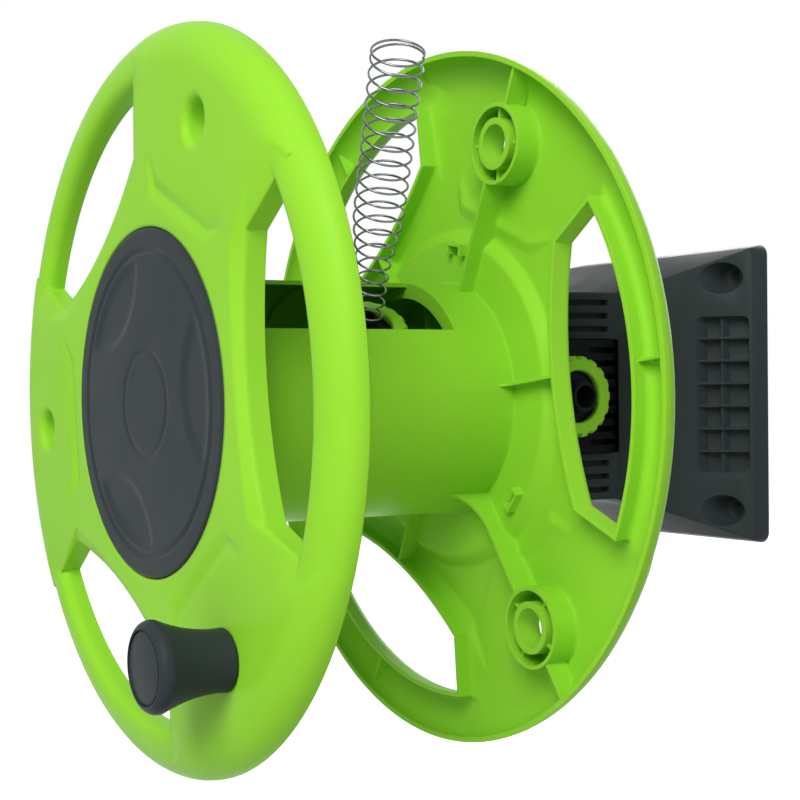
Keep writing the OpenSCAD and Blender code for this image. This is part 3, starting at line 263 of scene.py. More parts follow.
class ShaderGroups:
    """Node groups that more than one finish uses."""

    def __init__(self) -> None:
        """Builds the groups once."""
        self.grain = self._grain()
        self.drift = self._drift()
        self.wear = self._wear()

    @staticmethod
    def _new(name: str, inputs: dict[str, float], outputs: dict[str, str]) -> bpy.types.NodeTree:
        """Starts a group with named sockets.

        Args:
            name: Name of the group.
            inputs: Float inputs and their defaults.
            outputs: Outputs and their socket types.

        Returns:
            The group, with its input and output nodes in place.
        """
        group = bpy.data.node_groups.new(name, "ShaderNodeTree")
        for key, value in inputs.items():
            socket = group.interface.new_socket(key, in_out="INPUT", socket_type="NodeSocketFloat")
            socket.default_value = value
        for key, kind in outputs.items():
            group.interface.new_socket(key, in_out="OUTPUT", socket_type=kind)
        group.nodes.new("NodeGroupInput").name = "in"
        group.nodes.new("NodeGroupOutput").name = "out"
        return group

    @staticmethod
    def _noise(group: bpy.types.NodeTree, detail: float) -> bpy.types.Node:
        """Adds object-space noise to a group.

        Args:
            group: The group.
            detail: Number of octaves of the noise.

        Returns:
            The noise node.
        """
        place = group.nodes.new("ShaderNodeTexCoord")
        noise = group.nodes.new("ShaderNodeTexNoise")
        noise.inputs["Detail"].default_value = detail
        group.links.new(place.outputs["Object"], noise.inputs["Vector"])
        return noise

    def _grain(self) -> bpy.types.NodeTree:
        """Fine eroded grain of a moulding.

        Returns:
            The group, with a height and a mask for the roughness.
        """
        group = self._new(
            "mould_grain",
            {"Scale": 1500.0},
            {"Height": "NodeSocketFloat", "Mask": "NodeSocketFloat"},
        )
        source, sink = group.nodes["in"], group.nodes["out"]
        fine = self._noise(group, 2.0)
        group.links.new(source.outputs["Scale"], fine.inputs["Scale"])
        coarse = self._noise(group, 3.0)
        coarse.inputs["Scale"].default_value = 40.0
        spread = mapped(group, (0.35, 0.65))
        group.links.new(coarse.outputs["Fac"], spread.inputs["Value"])
        group.links.new(fine.outputs["Fac"], sink.inputs["Height"])
        group.links.new(spread.outputs["Result"], sink.inputs["Mask"])
        return group

    def _drift(self) -> bpy.types.NodeTree:
        """Slow drift of tone over a surface.

        Returns:
            The group, with a mask from 0 to 1.
        """
        group = self._new("tone_drift", {"Scale": 9.0}, {"Mask": "NodeSocketFloat"})
        noise = self._noise(group, 4.0)
        spread = mapped(group, (0.3, 0.7))
        group.links.new(group.nodes["in"].outputs["Scale"], noise.inputs["Scale"])
        group.links.new(noise.outputs["Fac"], spread.inputs["Value"])
        group.links.new(spread.outputs["Result"], group.nodes["out"].inputs["Mask"])
        return group

    def _wear(self) -> bpy.types.NodeTree:
        """Wear on the outer edges, broken up by noise.

        Returns:
            The group, with the mask of the worn edges.
        """
        group = self._new("edge_wear", {"Amount": 0.5}, {"Mask": "NodeSocketFloat"})
        shape = group.nodes.new("ShaderNodeNewGeometry")
        edge = mapped(group, (0.52, 0.62))
        noise = self._noise(group, 5.0)
        noise.inputs["Scale"].default_value = 130.0
        group.links.new(shape.outputs["Pointiness"], edge.inputs["Value"])
        mask = edge.outputs["Result"]
        for factor in (noise.outputs["Fac"], group.nodes["in"].outputs["Amount"]):
            product = group.nodes.new("ShaderNodeMath")
            product.operation = "MULTIPLY"
            group.links.new(mask, product.inputs[0])
            group.links.new(factor, product.inputs[1])
            mask = product.outputs["Value"]
        group.links.new(mask, group.nodes["out"].inputs["Mask"])
        return group


@dataclass(frozen=True)
class Finish:
    """A finish that is built as one material.

    Attributes:
        slot: Slot of the record that it dresses.
        base: Main colour, linear.
        shade: Colour that the surface drifts to, linear.
        edge: Colour of the worn edges, linear.
        roughness: Lowest and highest roughness.
        grain_scale: Frequency of the grain.
        grain_depth: Height of the grain.
        metallic: How metallic the surface is.
        wear: How much of the edge colour shows.
        drift_scale: Frequency of the tone drift.
        specular: Specular level of the shader.
        soft: Radius over which the edges shade round.
        face: Flange face on which the edges shade rounder, if there is one.
        face_soft: Radius over which the edges of that face shade round.
        face_depths: Depths under that face between which its radius gives way to soft.
        SOFT_SAMPLES: Number of rays that the rounding of the edges takes.
    """

    SOFT_SAMPLES: ClassVar[int] = 8

    slot: Slot
    base: Colour
    shade: Colour
    edge: Colour
    roughness: Point
    grain_scale: float
    grain_depth: float
    metallic: float = 0.0
    wear: float = 0.4
    drift_scale: float = 9.0
    specular: float = 0.5
    soft: float = 0.0004
    face: FlangeFace | None = None
    face_soft: float = 3.5 * MM
    face_depths: Point = (6.5 * MM, 11.5 * MM)

    def build(self, groups: ShaderGroups, name: str) -> bpy.types.Material:
        """Makes the material.

        Args:
            groups: The shared node groups.
            name: Name of the material.

        Returns:
            The finished material.
        """
        material = bpy.data.materials.new(name)
        material.use_nodes = True
        tree = material.node_tree
        shader = tree.nodes["Principled BSDF"]
        shader.inputs["Metallic"].default_value = self.metallic
        shader.inputs["Specular IOR Level"].default_value = self.specular
        drift = self._group(tree, groups.drift, "Scale", self.drift_scale)
        wear = self._group(tree, groups.wear, "Amount", self.wear)
        grain = self._group(tree, groups.grain, "Scale", self.grain_scale)
        toned = self._mix(tree, self.base, self.shade)
        worn = self._mix(tree, self.base, self.edge)
        tree.links.new(drift.outputs["Mask"], toned.inputs["Factor"])
        tree.links.new(wear.outputs["Mask"], worn.inputs["Factor"])
        tree.links.new(toned.outputs[MIX_RESULT], worn.inputs[MIX_FIRST])
        tree.links.new(worn.outputs[MIX_RESULT], shader.inputs["Base Color"])
        rough = mapped(tree, (0.0, 1.0), self.roughness)
        tree.links.new(grain.outputs["Mask"], rough.inputs["Value"])
        tree.links.new(rough.outputs["Result"], shader.inputs["Roughness"])
        bump = tree.nodes.new("ShaderNodeBump")
        bump.inputs["Strength"].default_value = 1.0
        bump.inputs["Distance"].default_value = self.grain_depth
        tree.links.new(grain.outputs["Height"], bump.inputs["Height"])
        tree.links.new(self._rounding(tree), bump.inputs["Normal"])
        tree.links.new(bump.outputs["Normal"], shader.inputs["Normal"])
        return material

    def _rounding(self, tree: bpy.types.NodeTree) -> bpy.types.NodeSocket:
        """Normal of the surface with its edges rounded, wider on a flange's smooth face.

        Args:
            tree: Node tree of the material.

        Returns:
            The rounded normal.
        """
        edge = tree.nodes.new("ShaderNodeBevel")
        edge.samples = self.SOFT_SAMPLES
        edge.inputs["Radius"].default_value = self.soft
        if self.face:
            start, end = (self.face.at(depth) for depth in self.face_depths)
            place = tree.nodes.new("ShaderNodeTexCoord")
            axes = tree.nodes.new("ShaderNodeSeparateXYZ")
            width = mapped(tree, (start, end), (self.face_soft, self.soft))
            tree.links.new(place.outputs["Object"], axes.inputs["Vector"])
            tree.links.new(axes.outputs["Y"], width.inputs["Value"])
            tree.links.new(width.outputs["Result"], edge.inputs["Radius"])
        return edge.outputs["Normal"]

    @staticmethod
    def _group(
        tree: bpy.types.NodeTree, group: bpy.types.NodeTree, socket: str, value: float
    ) -> bpy.types.Node:
        """Places a shared group in a material with its own value.

        Args:
            tree: Node tree of the material.
            group: The shared group.
            socket: Name of the group's input.
            value: The material's value for it.

        Returns:
            The group's node.
        """
        node = tree.nodes.new("ShaderNodeGroup")
        node.node_tree = group
        node.inputs[socket].default_value = value
        return node

    @staticmethod
    def _mix(tree: bpy.types.NodeTree, first: Colour, second: Colour) -> bpy.types.Node:
        """Adds a colour mix.

        Args:
            tree: Node tree of the material.
            first: Colour at factor 0, linear.
            second: Colour at factor 1, linear.

        Returns:
            The mix node.
        """
        node = tree.nodes.new("ShaderNodeMix")
        node.data_type = "RGBA"
        node.inputs[MIX_FIRST].default_value = (*first, 1.0)
        node.inputs[MIX_SECOND].default_value = (*second, 1.0)
        return node


class Look(Enum):
    """The looks that pieces are dressed in."""

    FRONT = "lime_front"
    REAR = "lime_rear"
    LIME = "lime_small"
    GRAPHITE = "graphite"
    BLACK = "black"
    STEEL = "zinc"
    RUBBER = "rubber"


LIME_LOOK = Finish(
    slot=Slot.LIME,
    base=(0.285, 0.652, 0.034),
    shade=(0.265, 0.62, 0.03),
    edge=(0.35, 0.73, 0.055),
    roughness=(0.32, 0.42),
    grain_scale=1300.0,
    grain_depth=0.00001,
    specular=0.06,
    soft=0.0006,
)

LOOKS: dict[Look, Finish] = {
    Look.FRONT: replace(LIME_LOOK, face=FRONT_FACE),
    Look.REAR: replace(LIME_LOOK, face=REAR_FACE),
    Look.LIME: LIME_LOOK,
    Look.GRAPHITE: Finish(
        slot=Slot.GRAPHITE,
        base=(0.035, 0.0445, 0.0465),
        shade=(0.031, 0.0395, 0.0415),
        edge=(0.055, 0.065, 0.067),
        roughness=(0.3, 0.4),
        grain_scale=1500.0,
        grain_depth=0.00002,
        specular=0.035,
        soft=0.0007,
    ),
    Look.BLACK: Finish(
        slot=Slot.BLACK,
        base=(0.006, 0.007, 0.0075),
        shade=(0.006, 0.007, 0.008),
        edge=(0.02, 0.021, 0.024),
        roughness=(0.42, 0.55),
        grain_scale=1300.0,
        grain_depth=0.00002,
        specular=0.05,
        soft=0.0005,
    ),
    Look.STEEL: Finish(
        slot=Slot.STEEL,
        base=(0.19, 0.205, 0.21),
        shade=(0.12, 0.13, 0.135),
        edge=(0.4, 0.42, 0.43),
        roughness=(0.14, 0.26),
        grain_scale=2500.0,
        grain_depth=0.000004,
        metallic=1.0,
        drift_scale=60.0,
        soft=0.0001,
    ),
    Look.RUBBER: Finish(
        slot=Slot.RUBBER,
        base=(0.012, 0.012, 0.012),
        shade=(0.018, 0.018, 0.018),
        edge=(0.03, 0.03, 0.03),
        roughness=(0.6, 0.75),
        grain_scale=900.0,
        grain_depth=0.00002,
        soft=0.0002,
    ),
}


class Dresser:
    """Hands out the finishes and reports what was dressed.

    Attributes:
        WELD: Distance up to which a copy's points are one point.
        FLAT: Angle in degrees up to which a copy's faces are one face.
    """

    WELD: ClassVar[float] = 2e-6
    FLAT: ClassVar[float] = 0.6

    def __init__(self, frame: dict) -> None:
        """Builds the materials.

        Args:
            frame: What the frame's loader returned.
        """
        groups = ShaderGroups()
        self.nodes: dict[str, bpy.types.Object] = frame["nodes"]
        self.materials = {look: finish.build(groups, look.value) for look, finish in LOOKS.items()}

    def paint(self, piece: bpy.types.Object, look: Look) -> None:
        """Gives a piece one finish."""
        piece.data.materials.clear()
        piece.data.materials.append(self.materials[look])

    def keep(self, look: Look, *names: str) -> None:
        """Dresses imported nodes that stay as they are.

        Args:
            look: Finish for all of them.
            *names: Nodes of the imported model.
        """
        for name in names:
            self.paint(self.nodes[name], look)
            LOG.info("dressed %s in %s", name, look.value)

    def add(self, piece: bpy.types.Object, look: Look, body: Body, *nodes: str) -> None:
        """Dresses a new piece, puts it on its body and lets it stand for nodes.

        Args:
            piece: The finished piece, in place.
            look: Its finish.
            body: The body that it rides on.
            *nodes: Nodes that it stands for.
        """
        self.paint(piece, look)
        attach(piece, body.value)
        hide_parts(*nodes)
        LOG.info("built %s, %d faces, for %s", piece.name, len(piece.data.polygons), nodes)

    def copy(self, node: str, name: str, join_flats: bool) -> bpy.types.Object:
        """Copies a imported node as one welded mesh.

        Args:
            node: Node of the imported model.
            name: Name of the copy.
            join_flats: Whether flat regions become single faces.

        Returns:
            The copy, at the node's own place.
        """
        source = self.nodes[node]
        mesh = source.data.copy()
        mesh.name = name
        piece = bpy.data.objects.new(name, mesh)
        bpy.context.scene.collection.objects.link(piece)
        with Bench.editing(piece):
            bpy.ops.mesh.customdata_custom_splitnormals_clear()
            bpy.ops.mesh.remove_doubles(threshold=self.WELD)
            if join_flats:
                bpy.ops.mesh.dissolve_limited(angle_limit=math.radians(self.FLAT))
        return piece


@dataclass(frozen=True)
class SideRound:
    """Rounded outer side of a flange, a quarter ellipse that ends on the flange's edge.

    Attributes:
        width: How far it reaches in from the flange's edge.
        height: How deep it is.
        edge_r: Radius of the flange's edge.
        land: Depth of the straight land under it.
    """

    width: float
    height: float
    edge_r: float = 195.0 * MM
    land: float = 16.0 * MM

    def depth(self, radius: float) -> float:
        """Depth under the smooth face at a radius."""
        across = max(0.0, (radius - self.edge_r) / self.width + 1.0)
        return self.land - self.height * math.sqrt(max(0.0, 1.0 - across * across))


@dataclass
class ShellMoulding:
    """One ribbed half of the spool, shaded as one flowing moulding.

    Attributes:
        node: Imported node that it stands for.
        name: Name of the piece.
        look: Its finish.
        face: Its flange's smooth face.
        crease: Least angle between two faces, in degrees, that stays an edge.
        window_clocks: Clock angle of the middle of each window, in degrees.
        wall_turn: Angle from there to the window's slanting walls, in degrees.
        lobe_side: Rounded side of the lobes.
        rim_side: Rounded side of the rim between them.
        run_r: Radius beyond which a lobe's side runs out on the rim.
        depth_slack: How far off the lobe's side a point may lie and still belong to it.
        turn_slack: The same for the windows' slanting walls, in degrees.
    """

    node: str
    name: str
    look: Look
    face: FlangeFace
    crease: float = 15.6
    window_clocks: tuple[float, ...] = (84.0, 204.0, 324.0)
    wall_turn: float = 29.6
    lobe_side: SideRound = SideRound(22.0 * MM, 16.0 * MM)
    rim_side: SideRound = SideRound(20.0 * MM, 14.2 * MM)
    run_r: float = 186.3 * MM
    depth_slack: float = 0.15 * MM
    turn_slack: float = 0.15

    def _beside_window(self, x: float, z: float) -> bool:
        """Whether a point lies on the line where a window's slanting wall meets the rim.

        Args:
            x: Sideways place of the point.
            z: Height of the point.

        Returns:
            True if it lies on such a line.
        """
        clock = math.degrees(math.atan2(x, z))
        turns = (abs((clock - middle + 180.0) % 360.0 - 180.0) for middle in self.window_clocks)
        return any(abs(turn - self.wall_turn) < self.turn_slack for turn in turns)

    def _run_out(self, piece: bpy.types.Object) -> int:
        """Lets each lobe's rounded side run out on the rim, with no step between them.

        Args:
            piece: The welded copy.

        Returns:
            How many points were moved.
        """
        moved = 0
        for vertex in piece.data.vertices:
            x, y, z = vertex.co
            radius = math.hypot(x, z)
            off_lobe = abs(self.face.depth(y) - self.lobe_side.depth(radius))
            on_lobe = off_lobe < self.depth_slack and radius > self.run_r
            if on_lobe and self._beside_window(x, z):
                vertex.co.y = self.face.at(self.rim_side.depth(radius))
                moved += 1
        return moved

    def build(self, dresser: Dresser) -> None:
        """Builds and dresses the moulding.

        Args:
            dresser: Hands out the finishes.
        """
        piece = dresser.copy(self.node, self.name, join_flats=False)
        moved = self._run_out(piece)
        LOG.info("%s: %d points run out on the rim", self.name, moved)
        Bench.smooth(piece, self.crease)
        Bench.finish_modifier(piece, "WEIGHTED_NORMAL", weight=90, keep_sharp=True)
        dresser.add(piece, self.look, Body.SPOOL, self.node)


@dataclass
class SoftMoulding:
    """A moulding whose edges are rounded as a mould leaves them.

    Attributes:
        node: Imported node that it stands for.
        name: Name of the piece.
        look: Its finish.
        body: The body that it rides on.
        round_r: Width of the rounding.
        limit: Least angle between two faces, in degrees, that is rounded.
        segments: Number of faces across a rounding.
        flow: Angle between two faces, in degrees, up to which they shade smooth.
    """

    node: str
    name: str
    look: Look
    body: Body
    round_r: float
    limit: float = 22.0
    segments: int = 2
    flow: float = 32.0

    def build(self, dresser: Dresser) -> None:
        """Builds and dresses the moulding.

        Args:
            dresser: Hands out the finishes.
        """
        piece = dresser.copy(self.node, self.name, join_flats=True)
        Bench.finish_modifier(
            piece,
            "BEVEL",
            width=self.round_r,
            segments=self.segments,
            limit_method="ANGLE",
            angle_limit=math.radians(self.limit),
            use_clamp_overlap=True,
            miter_outer="MITER_ARC",
        )
        Bench.smooth(piece, self.flow)
        dresser.add(piece, self.look, self.body, self.node)


@dataclass
class WireSpring:
    """Open wire spring round the hose, from its foot on the outlet to its closed end.

    Attributes:
        wire_r: Radius of the wire.
        coil_r: Radius of the open turns, to the wire's middle.
        foot_r: Radius of the narrow turns, to the wire's middle.
        foot: Distance of the spring's foot from the reel's axis.
        foot_gap: Room between the foot and what it stands on.
        bend_r: Radius of the bend between the foot and the first turn.
        bend_steps: Number of straight steps in that bend.
        start: Distance at which the turns begin.
        pitch: Advance of an open turn.
        closed_pitch: Advance of a closed turn.
        turns: Number of open turns.
        closed: Number of closed turns.
        narrow: Number of turns that stay narrow.
        widen: Number of turns over which the spring widens.
        turn0: Angle of the first turn, in degrees.
        per_turn: Points in a turn.
        probe: Part of a turn over which the wire's first direction is taken.
        flow: Angle between two faces, in degrees, up to which they shade smooth.
    """

    wire_r: float = 0.6 * MM
    coil_r: float = 12.9 * MM
    foot_r: float = 8.7 * MM
    foot: float = 47.7 * MM
    foot_gap: float = 0.02 * MM
    bend_r: float = 1.6 * MM
    bend_steps: int = 6
    start: float = 51.5 * MM
    pitch: float = 8.0 * MM
    closed_pitch: float = 1.7 * MM
    turns: float = 19.75
    closed: float = 1.25
    narrow: float = 4.0
    widen: float = 5.0
    turn0: float = 40.0
    per_turn: int = 28
    probe: float = 0.01
    flow: float = 60.0

    def _radius(self, turn: float) -> float:
        """Radius of the spring's line after a number of turns."""
        k = min(1.0, max(0.0, (turn - self.narrow) / self.widen))
        return self.foot_r + (self.coil_r - self.foot_r) * k * k * (3 - 2 * k)

    def _point(self, turn: float) -> Vector:
        """Point of the spring's line after a number of turns.

        Args:
            turn: Number of turns from the line's start.

        Returns:
            The point, in the outlet's frame.
        """
        angle = math.radians(self.turn0 - 360.0 * turn)
        radius = self._radius(turn)
        open_turns = min(turn, self.turns)
        closed_turns = max(0.0, turn - self.turns)
        height = self.start + open_turns * self.pitch + closed_turns * self.closed_pitch
        return Vector((radius * math.cos(angle), radius * math.sin(angle), height))

    def _foot(self) -> list[Vector]:
        """Points of the straight foot and of the bend up to the first turn.

        Returns:
            The points, from the foot's end on.
        """
        first = self._point(0.0)
        along = (self._point(self.probe) - first).normalized()
        up = Vector((0, 0, 1))
        bend = []
        for i in range(self.bend_steps, 0, -1):
            angle = math.radians(90 * i / self.bend_steps)
            offset = math.sin(angle) * along + (1 - math.cos(angle)) * up
            bend.append(first - self.bend_r * offset)
        return [Vector((bend[0].x, bend[0].y, self.foot + self.foot_gap)), *bend]

    def build(self, dresser: Dresser, frame: Matrix) -> None:
        """Winds the spring and puts it on the outlet.

        Args:
            dresser: Hands out the finishes.
            frame: The outlet's frame, with Z along the hose.
        """
        total = self.turns + self.closed
        count = round(total * self.per_turn)
        points = self._foot() + [self._point(i * total / count) for i in range(count + 1)]
        curve = bpy.data.curves.new("wire_spring_line", "CURVE")
        curve.dimensions = "3D"
        curve.bevel_depth = self.wire_r
        curve.bevel_resolution = 3
        curve.use_fill_caps = True
        spline = curve.splines.new("POLY")
        spline.points.add(len(points) - 1)
        for target, point in zip(spline.points, points):
            target.co = (*point, 1.0)
        piece = bpy.data.objects.new("wire_spring", curve)
        bpy.context.scene.collection.objects.link(piece)
        Bench.take(piece)
        bpy.ops.object.convert(target="MESH")
        Bench.place(piece, frame)
        Bench.smooth(piece, self.flow)
        dresser.add(piece, Look.STEEL, Body.SPOOL, "hose_spring")


@dataclass
class CapPlate:
    """Hooked cap in the front hub, with three soft hollows and two ring grooves.

    Attributes:
        face: The flange's smooth face that the cap lies in.
        proud: Height of the cap's face over the flange.
        edge_r: Radius of the cap.
        edge_round: Rounding of the cap's edge.
        edge_steps: Number of straight steps in that rounding.
        edge_z: Height of the lower side of the cap's edge.
        under_z: Height of the plate's underside.
        under_r: Radius of the underside's first ring.
        skirt: Inner and outer radius of the skirt, and the height of its foot.
        groove: Radius, half width and depth of the outer ring groove.
        ring: Radius, half width and depth of the centre ring groove.
        hollow_at: Radius of the circle through the hollows' centres.
        hollow_clock: Clock angle of the first hollow, in degrees.
        hollow_r: Outer radius of a hollow and the width of its slope.
        hollow_depth: Depth of a hollow.
        hollow_end: Radius at which the hollows end, and the width of that end.
        step: Distance between the rings of the face.
        fine: Part of that distance that is kept near the outer groove.
        skin: Depth under the face down to which a point belongs to it.
        around: Number of points round the cap.
        hook_clock: Clock angle of the first snap hook, in degrees.
        hook_w: Width of a snap hook.
        hook_inner: Radius of a hook's inner side.
        hook_blocks: Bottom, top and outer radius of a hook's shank and of its barb.
        hook_round: Rounding of a hook's edges.
        flow: Angle between two faces, in degrees, up to which they shade smooth.
    """

    face: FlangeFace = FRONT_FACE
    proud: float = 0.7 * MM
    edge_r: float = 91.0 * MM
    edge_round: float = 2.0 * MM
    edge_steps: int = 6
    edge_z: float = -2.2 * MM
    under_z: float = -2.7 * MM
    under_r: float = 20.0 * MM
    skirt: Triple = (86.0 * MM, 88.0 * MM, -5.6 * MM)
    groove: Triple = (79.0 * MM, 2.6 * MM, 0.9 * MM)
    ring: Triple = (27.0 * MM, 2.0 * MM, 0.6 * MM)
    hollow_at: float = 90.0 * MM
    hollow_clock: float = 84.0
    hollow_r: Point = (46.0 * MM, 6.5 * MM)
    hollow_depth: float = 1.2 * MM
    hollow_end: Point = (77.0 * MM, 7.0 * MM)
    step: float = 1.3 * MM
    fine: float = 0.4
    skin: float = 1.5 * MM
    around: int = 216
    hook_clock: float = 10.0
    hook_w: float = 9.0 * MM
    hook_inner: float = 82.6 * MM
    hook_blocks: tuple[Triple, ...] = (
        (-8.1 * MM, -2.6 * MM, 84.6 * MM),
        (-10.1 * MM, -8.1 * MM, 86.4 * MM),
    )
    hook_round: float = 0.2 * MM
    flow: float = 35.0

    @staticmethod
    def _ease(value: float) -> float:
        """Smooth step from 0 to 1."""
        k = min(1.0, max(0.0, value))
        return k * k * (3 - 2 * k)

    def _groove_depth(self, radius: float) -> float:
        """Depth of the two ring grooves at a radius.

        Args:
            radius: Distance from the cap's middle.

        Returns:
            The depth, 0 beside the grooves.
        """
        depth = 0.0
        for at, half, deep in (self.groove, self.ring):
            reach = min(1.0, abs(radius - at) / half)
            depth += deep * (0.5 + 0.5 * math.cos(math.pi * reach))
        return depth

    def _hollow(self, x: float, y: float) -> float:
        """Depth of the three hollows at a place on the face.

        Args:
            x: Sideways place, in the cap's frame.
            y: Height of the place, in the cap's frame.

        Returns:
            The depth, 0 beside the hollows.
        """
        depth = 0.0
        reach, slope = self.hollow_r
        for i in range(3):
            clock = math.radians(self.hollow_clock + 120.0 * i)
            centre = (self.hollow_at * math.sin(clock), self.hollow_at * math.cos(clock))
            depth += self._ease((reach - math.dist((x, y), centre)) / slope)
        end, width = self.hollow_end
        return self.hollow_depth * depth * self._ease((end - math.hypot(x, y)) / width)

    def _profile(self) -> list[Point]:
        """Rings of the cap from its underside's middle to its face's middle.

        Returns:
            Radius and height of each ring.
        """
        inner, outer, foot = self.skirt
        low = self.proud - self.edge_round
        rings = [(self.under_r, self.under_z), (inner, self.under_z), (inner, foot)]
        rings += [(outer, foot), (outer, self.under_z), (self.edge_r, self.edge_z)]
        for i in range(self.edge_steps + 1):
            angle = math.radians(90 * i / self.edge_steps)
            inset = self.edge_round * (1 - math.cos(angle))
            rings.append((self.edge_r - inset, low + self.edge_round * math.sin(angle)))
        radius = self.edge_r - self.edge_round
        while radius > 3 * self.step:
            near_groove = abs(radius - self.groove[0]) < 2 * self.groove[1]
            radius -= self.step * (self.fine if near_groove else 1)
            rings.append((radius, self.proud - self._groove_depth(radius)))
        return rings

    def _hook(self, index: int) -> bpy.types.Object:
        """One snap hook with its barb.

        Args:
            index: Number of the hook, from 0 to 2.

        Returns:
            The hook, in the cap's frame.
        """
        parts = []
        for low, high, outer in self.hook_blocks:
            Bench.clear()
            bpy.ops.mesh.primitive_cube_add(size=1, location=(0, 0, 0))
            part = bpy.context.active_object
            part.scale = (self.hook_w, outer - self.hook_inner, high - low)
            part.location = (0, (outer + self.hook_inner) / 2, (low + high) / 2)
            bpy.ops.object.transform_apply(location=True, rotation=True, scale=True)
            Bench.finish_modifier(part, "BEVEL", width=self.hook_round, segments=2)
            parts.append(part)
        Bench.take(parts[0])
        parts[1].select_set(True)
        bpy.ops.object.join()
        turn = Matrix.Rotation(-math.radians(self.hook_clock + 120.0 * index), 4, "Z")
        Bench.place(parts[0], turn)
        return parts[0]

    def build(self, dresser: Dresser) -> None:
        """Builds and dresses the cap.

        Args:
            dresser: Hands out the finishes.
        """
        piece = Bench.turned("cap_plate", self._profile(), self.around)
        for vertex in piece.data.vertices:
            x, y, z = vertex.co
            if z > self.proud - self.skin and math.hypot(x, y) < self.hollow_end[0]:
                vertex.co.z = z - self._hollow(x, y)
        hooks = [self._hook(i) for i in range(3)]
        Bench.take(piece)
        for hook in hooks:
            hook.select_set(True)
        bpy.ops.object.join()
        Bench.place(piece, axis_frame(self.face.y))
        Bench.smooth(piece, self.flow)
        dresser.add(piece, Look.GRAPHITE, Body.SPOOL, "centre_cap")


@dataclass(frozen=True)
class Outlet:
    """Where the hose leaves the drum.

    Attributes:
        y: The row's Y of the point where the outlet's axis meets the reel's.
        clock: Clock angle of the outlet round the reel's axis, in degrees.
        lean: How far it leans out of the wall's plane, in degrees.
    """

    y: float = -227.9 * MM
    clock: float = 36.35
    lean: float = 13.1

    def frame(self) -> Matrix:
        """Frame of the outlet, with its origin on the reel's axis and Z along the hose.

        Returns:
            Matrix from that frame to the row's.
        """
        swing = Matrix.Rotation(math.radians(self.clock), 4, "Y")
        tilt = Matrix.Rotation(math.radians(self.lean), 4, "X")
        return Matrix.Translation((0, self.y, 0)) @ swing @ tilt


@dataclass
class Reel:
    """The whole hose reel, built from its sub-assemblies.

    Attributes:
        dresser: Hands out the finishes.
    """

    dresser: Dresser

    def build(self) -> None:
        """Builds every piece and dresses every node."""
        keep = self.dresser.keep
        keep(Look.STEEL, "drum_screws", "axle_washer", "axle_ring", "knob_retainer")
        keep(Look.STEEL, "axle_pin", "thrust_washer")
        keep(Look.RUBBER, "union_o_rings", "axle_seal")
        keep(Look.BLACK, "front_bush", "rear_bush", "water_axle", "outlet_union", "outlet_tail")
        keep(Look.BLACK, "knob_stud", "knob_stud_nut", "inlet_tail", "hinge_pin")
        for moulding in (
            ShellMoulding("front_half", "front_moulding", Look.FRONT, FRONT_FACE),
            ShellMoulding("rear_half", "rear_moulding", Look.REAR, REAR_FACE),
            SoftMoulding("knob_grip", "knob_handle", Look.GRAPHITE, Body.KNOB, 0.4 * MM),
            SoftMoulding("knob_end_disc", "knob_disc", Look.GRAPHITE, Body.KNOB, 0.3 * MM),
            SoftMoulding("outlet_nut", "outlet_ring_nut", Look.LIME, Body.OUTLET, 0.5 * MM),
            SoftMoulding("inlet_nut", "inlet_ring_nut", Look.LIME, Body.INLET, 0.5 * MM),
            SoftMoulding("swivel_block", "swivel_body", Look.BLACK, Body.SWIVEL, 0.6 * MM),
            SoftMoulding("wall_bracket", "wall_plate", Look.GRAPHITE, Body.BRACKET, 0.8 * MM),
        ):
            moulding.build(self.dresser)
        CapPlate().build(self.dresser)
        WireSpring().build(self.dresser, Outlet().frame())


@dataclass(frozen=True)
class Lamp:
    """Soft square lamp that faces the reel.

    Attributes:
        name: Name of the lamp.
        place: Where it stands.
        size: Length of its side.
        power: Its power in watts.
        aim: The point that it faces.
    """

    name: str
    place: Triple
    size: float
    power: float
    aim: Triple = (0.0, -0.22, 0.0)

    def build(self) -> None:
        """Adds the lamp to the scene."""
        Bench.clear()
        bpy.ops.object.light_add(type="AREA", location=self.place)
        lamp = bpy.context.active_object
        lamp.name = self.name
        lamp.data.size = self.size
        lamp.data.energy = self.power
        way = Vector(self.aim) - Vector(self.place)
        lamp.rotation_euler = way.to_track_quat("-Z", "Y").to_euler()


LAMPS = (
    Lamp("key_lamp", (1.5, -1.9, 1.5), 1.6, 72.0),
    Lamp("front_fill", (0.9, -2.4, -0.1), 1.6, 5.0),
    Lamp("side_fill", (2.2, 0.5, 0.5), 1.4, 3.0),
    Lamp("back_fill", (-1.4, 2.0, 1.0), 1.6, 26.0),
)


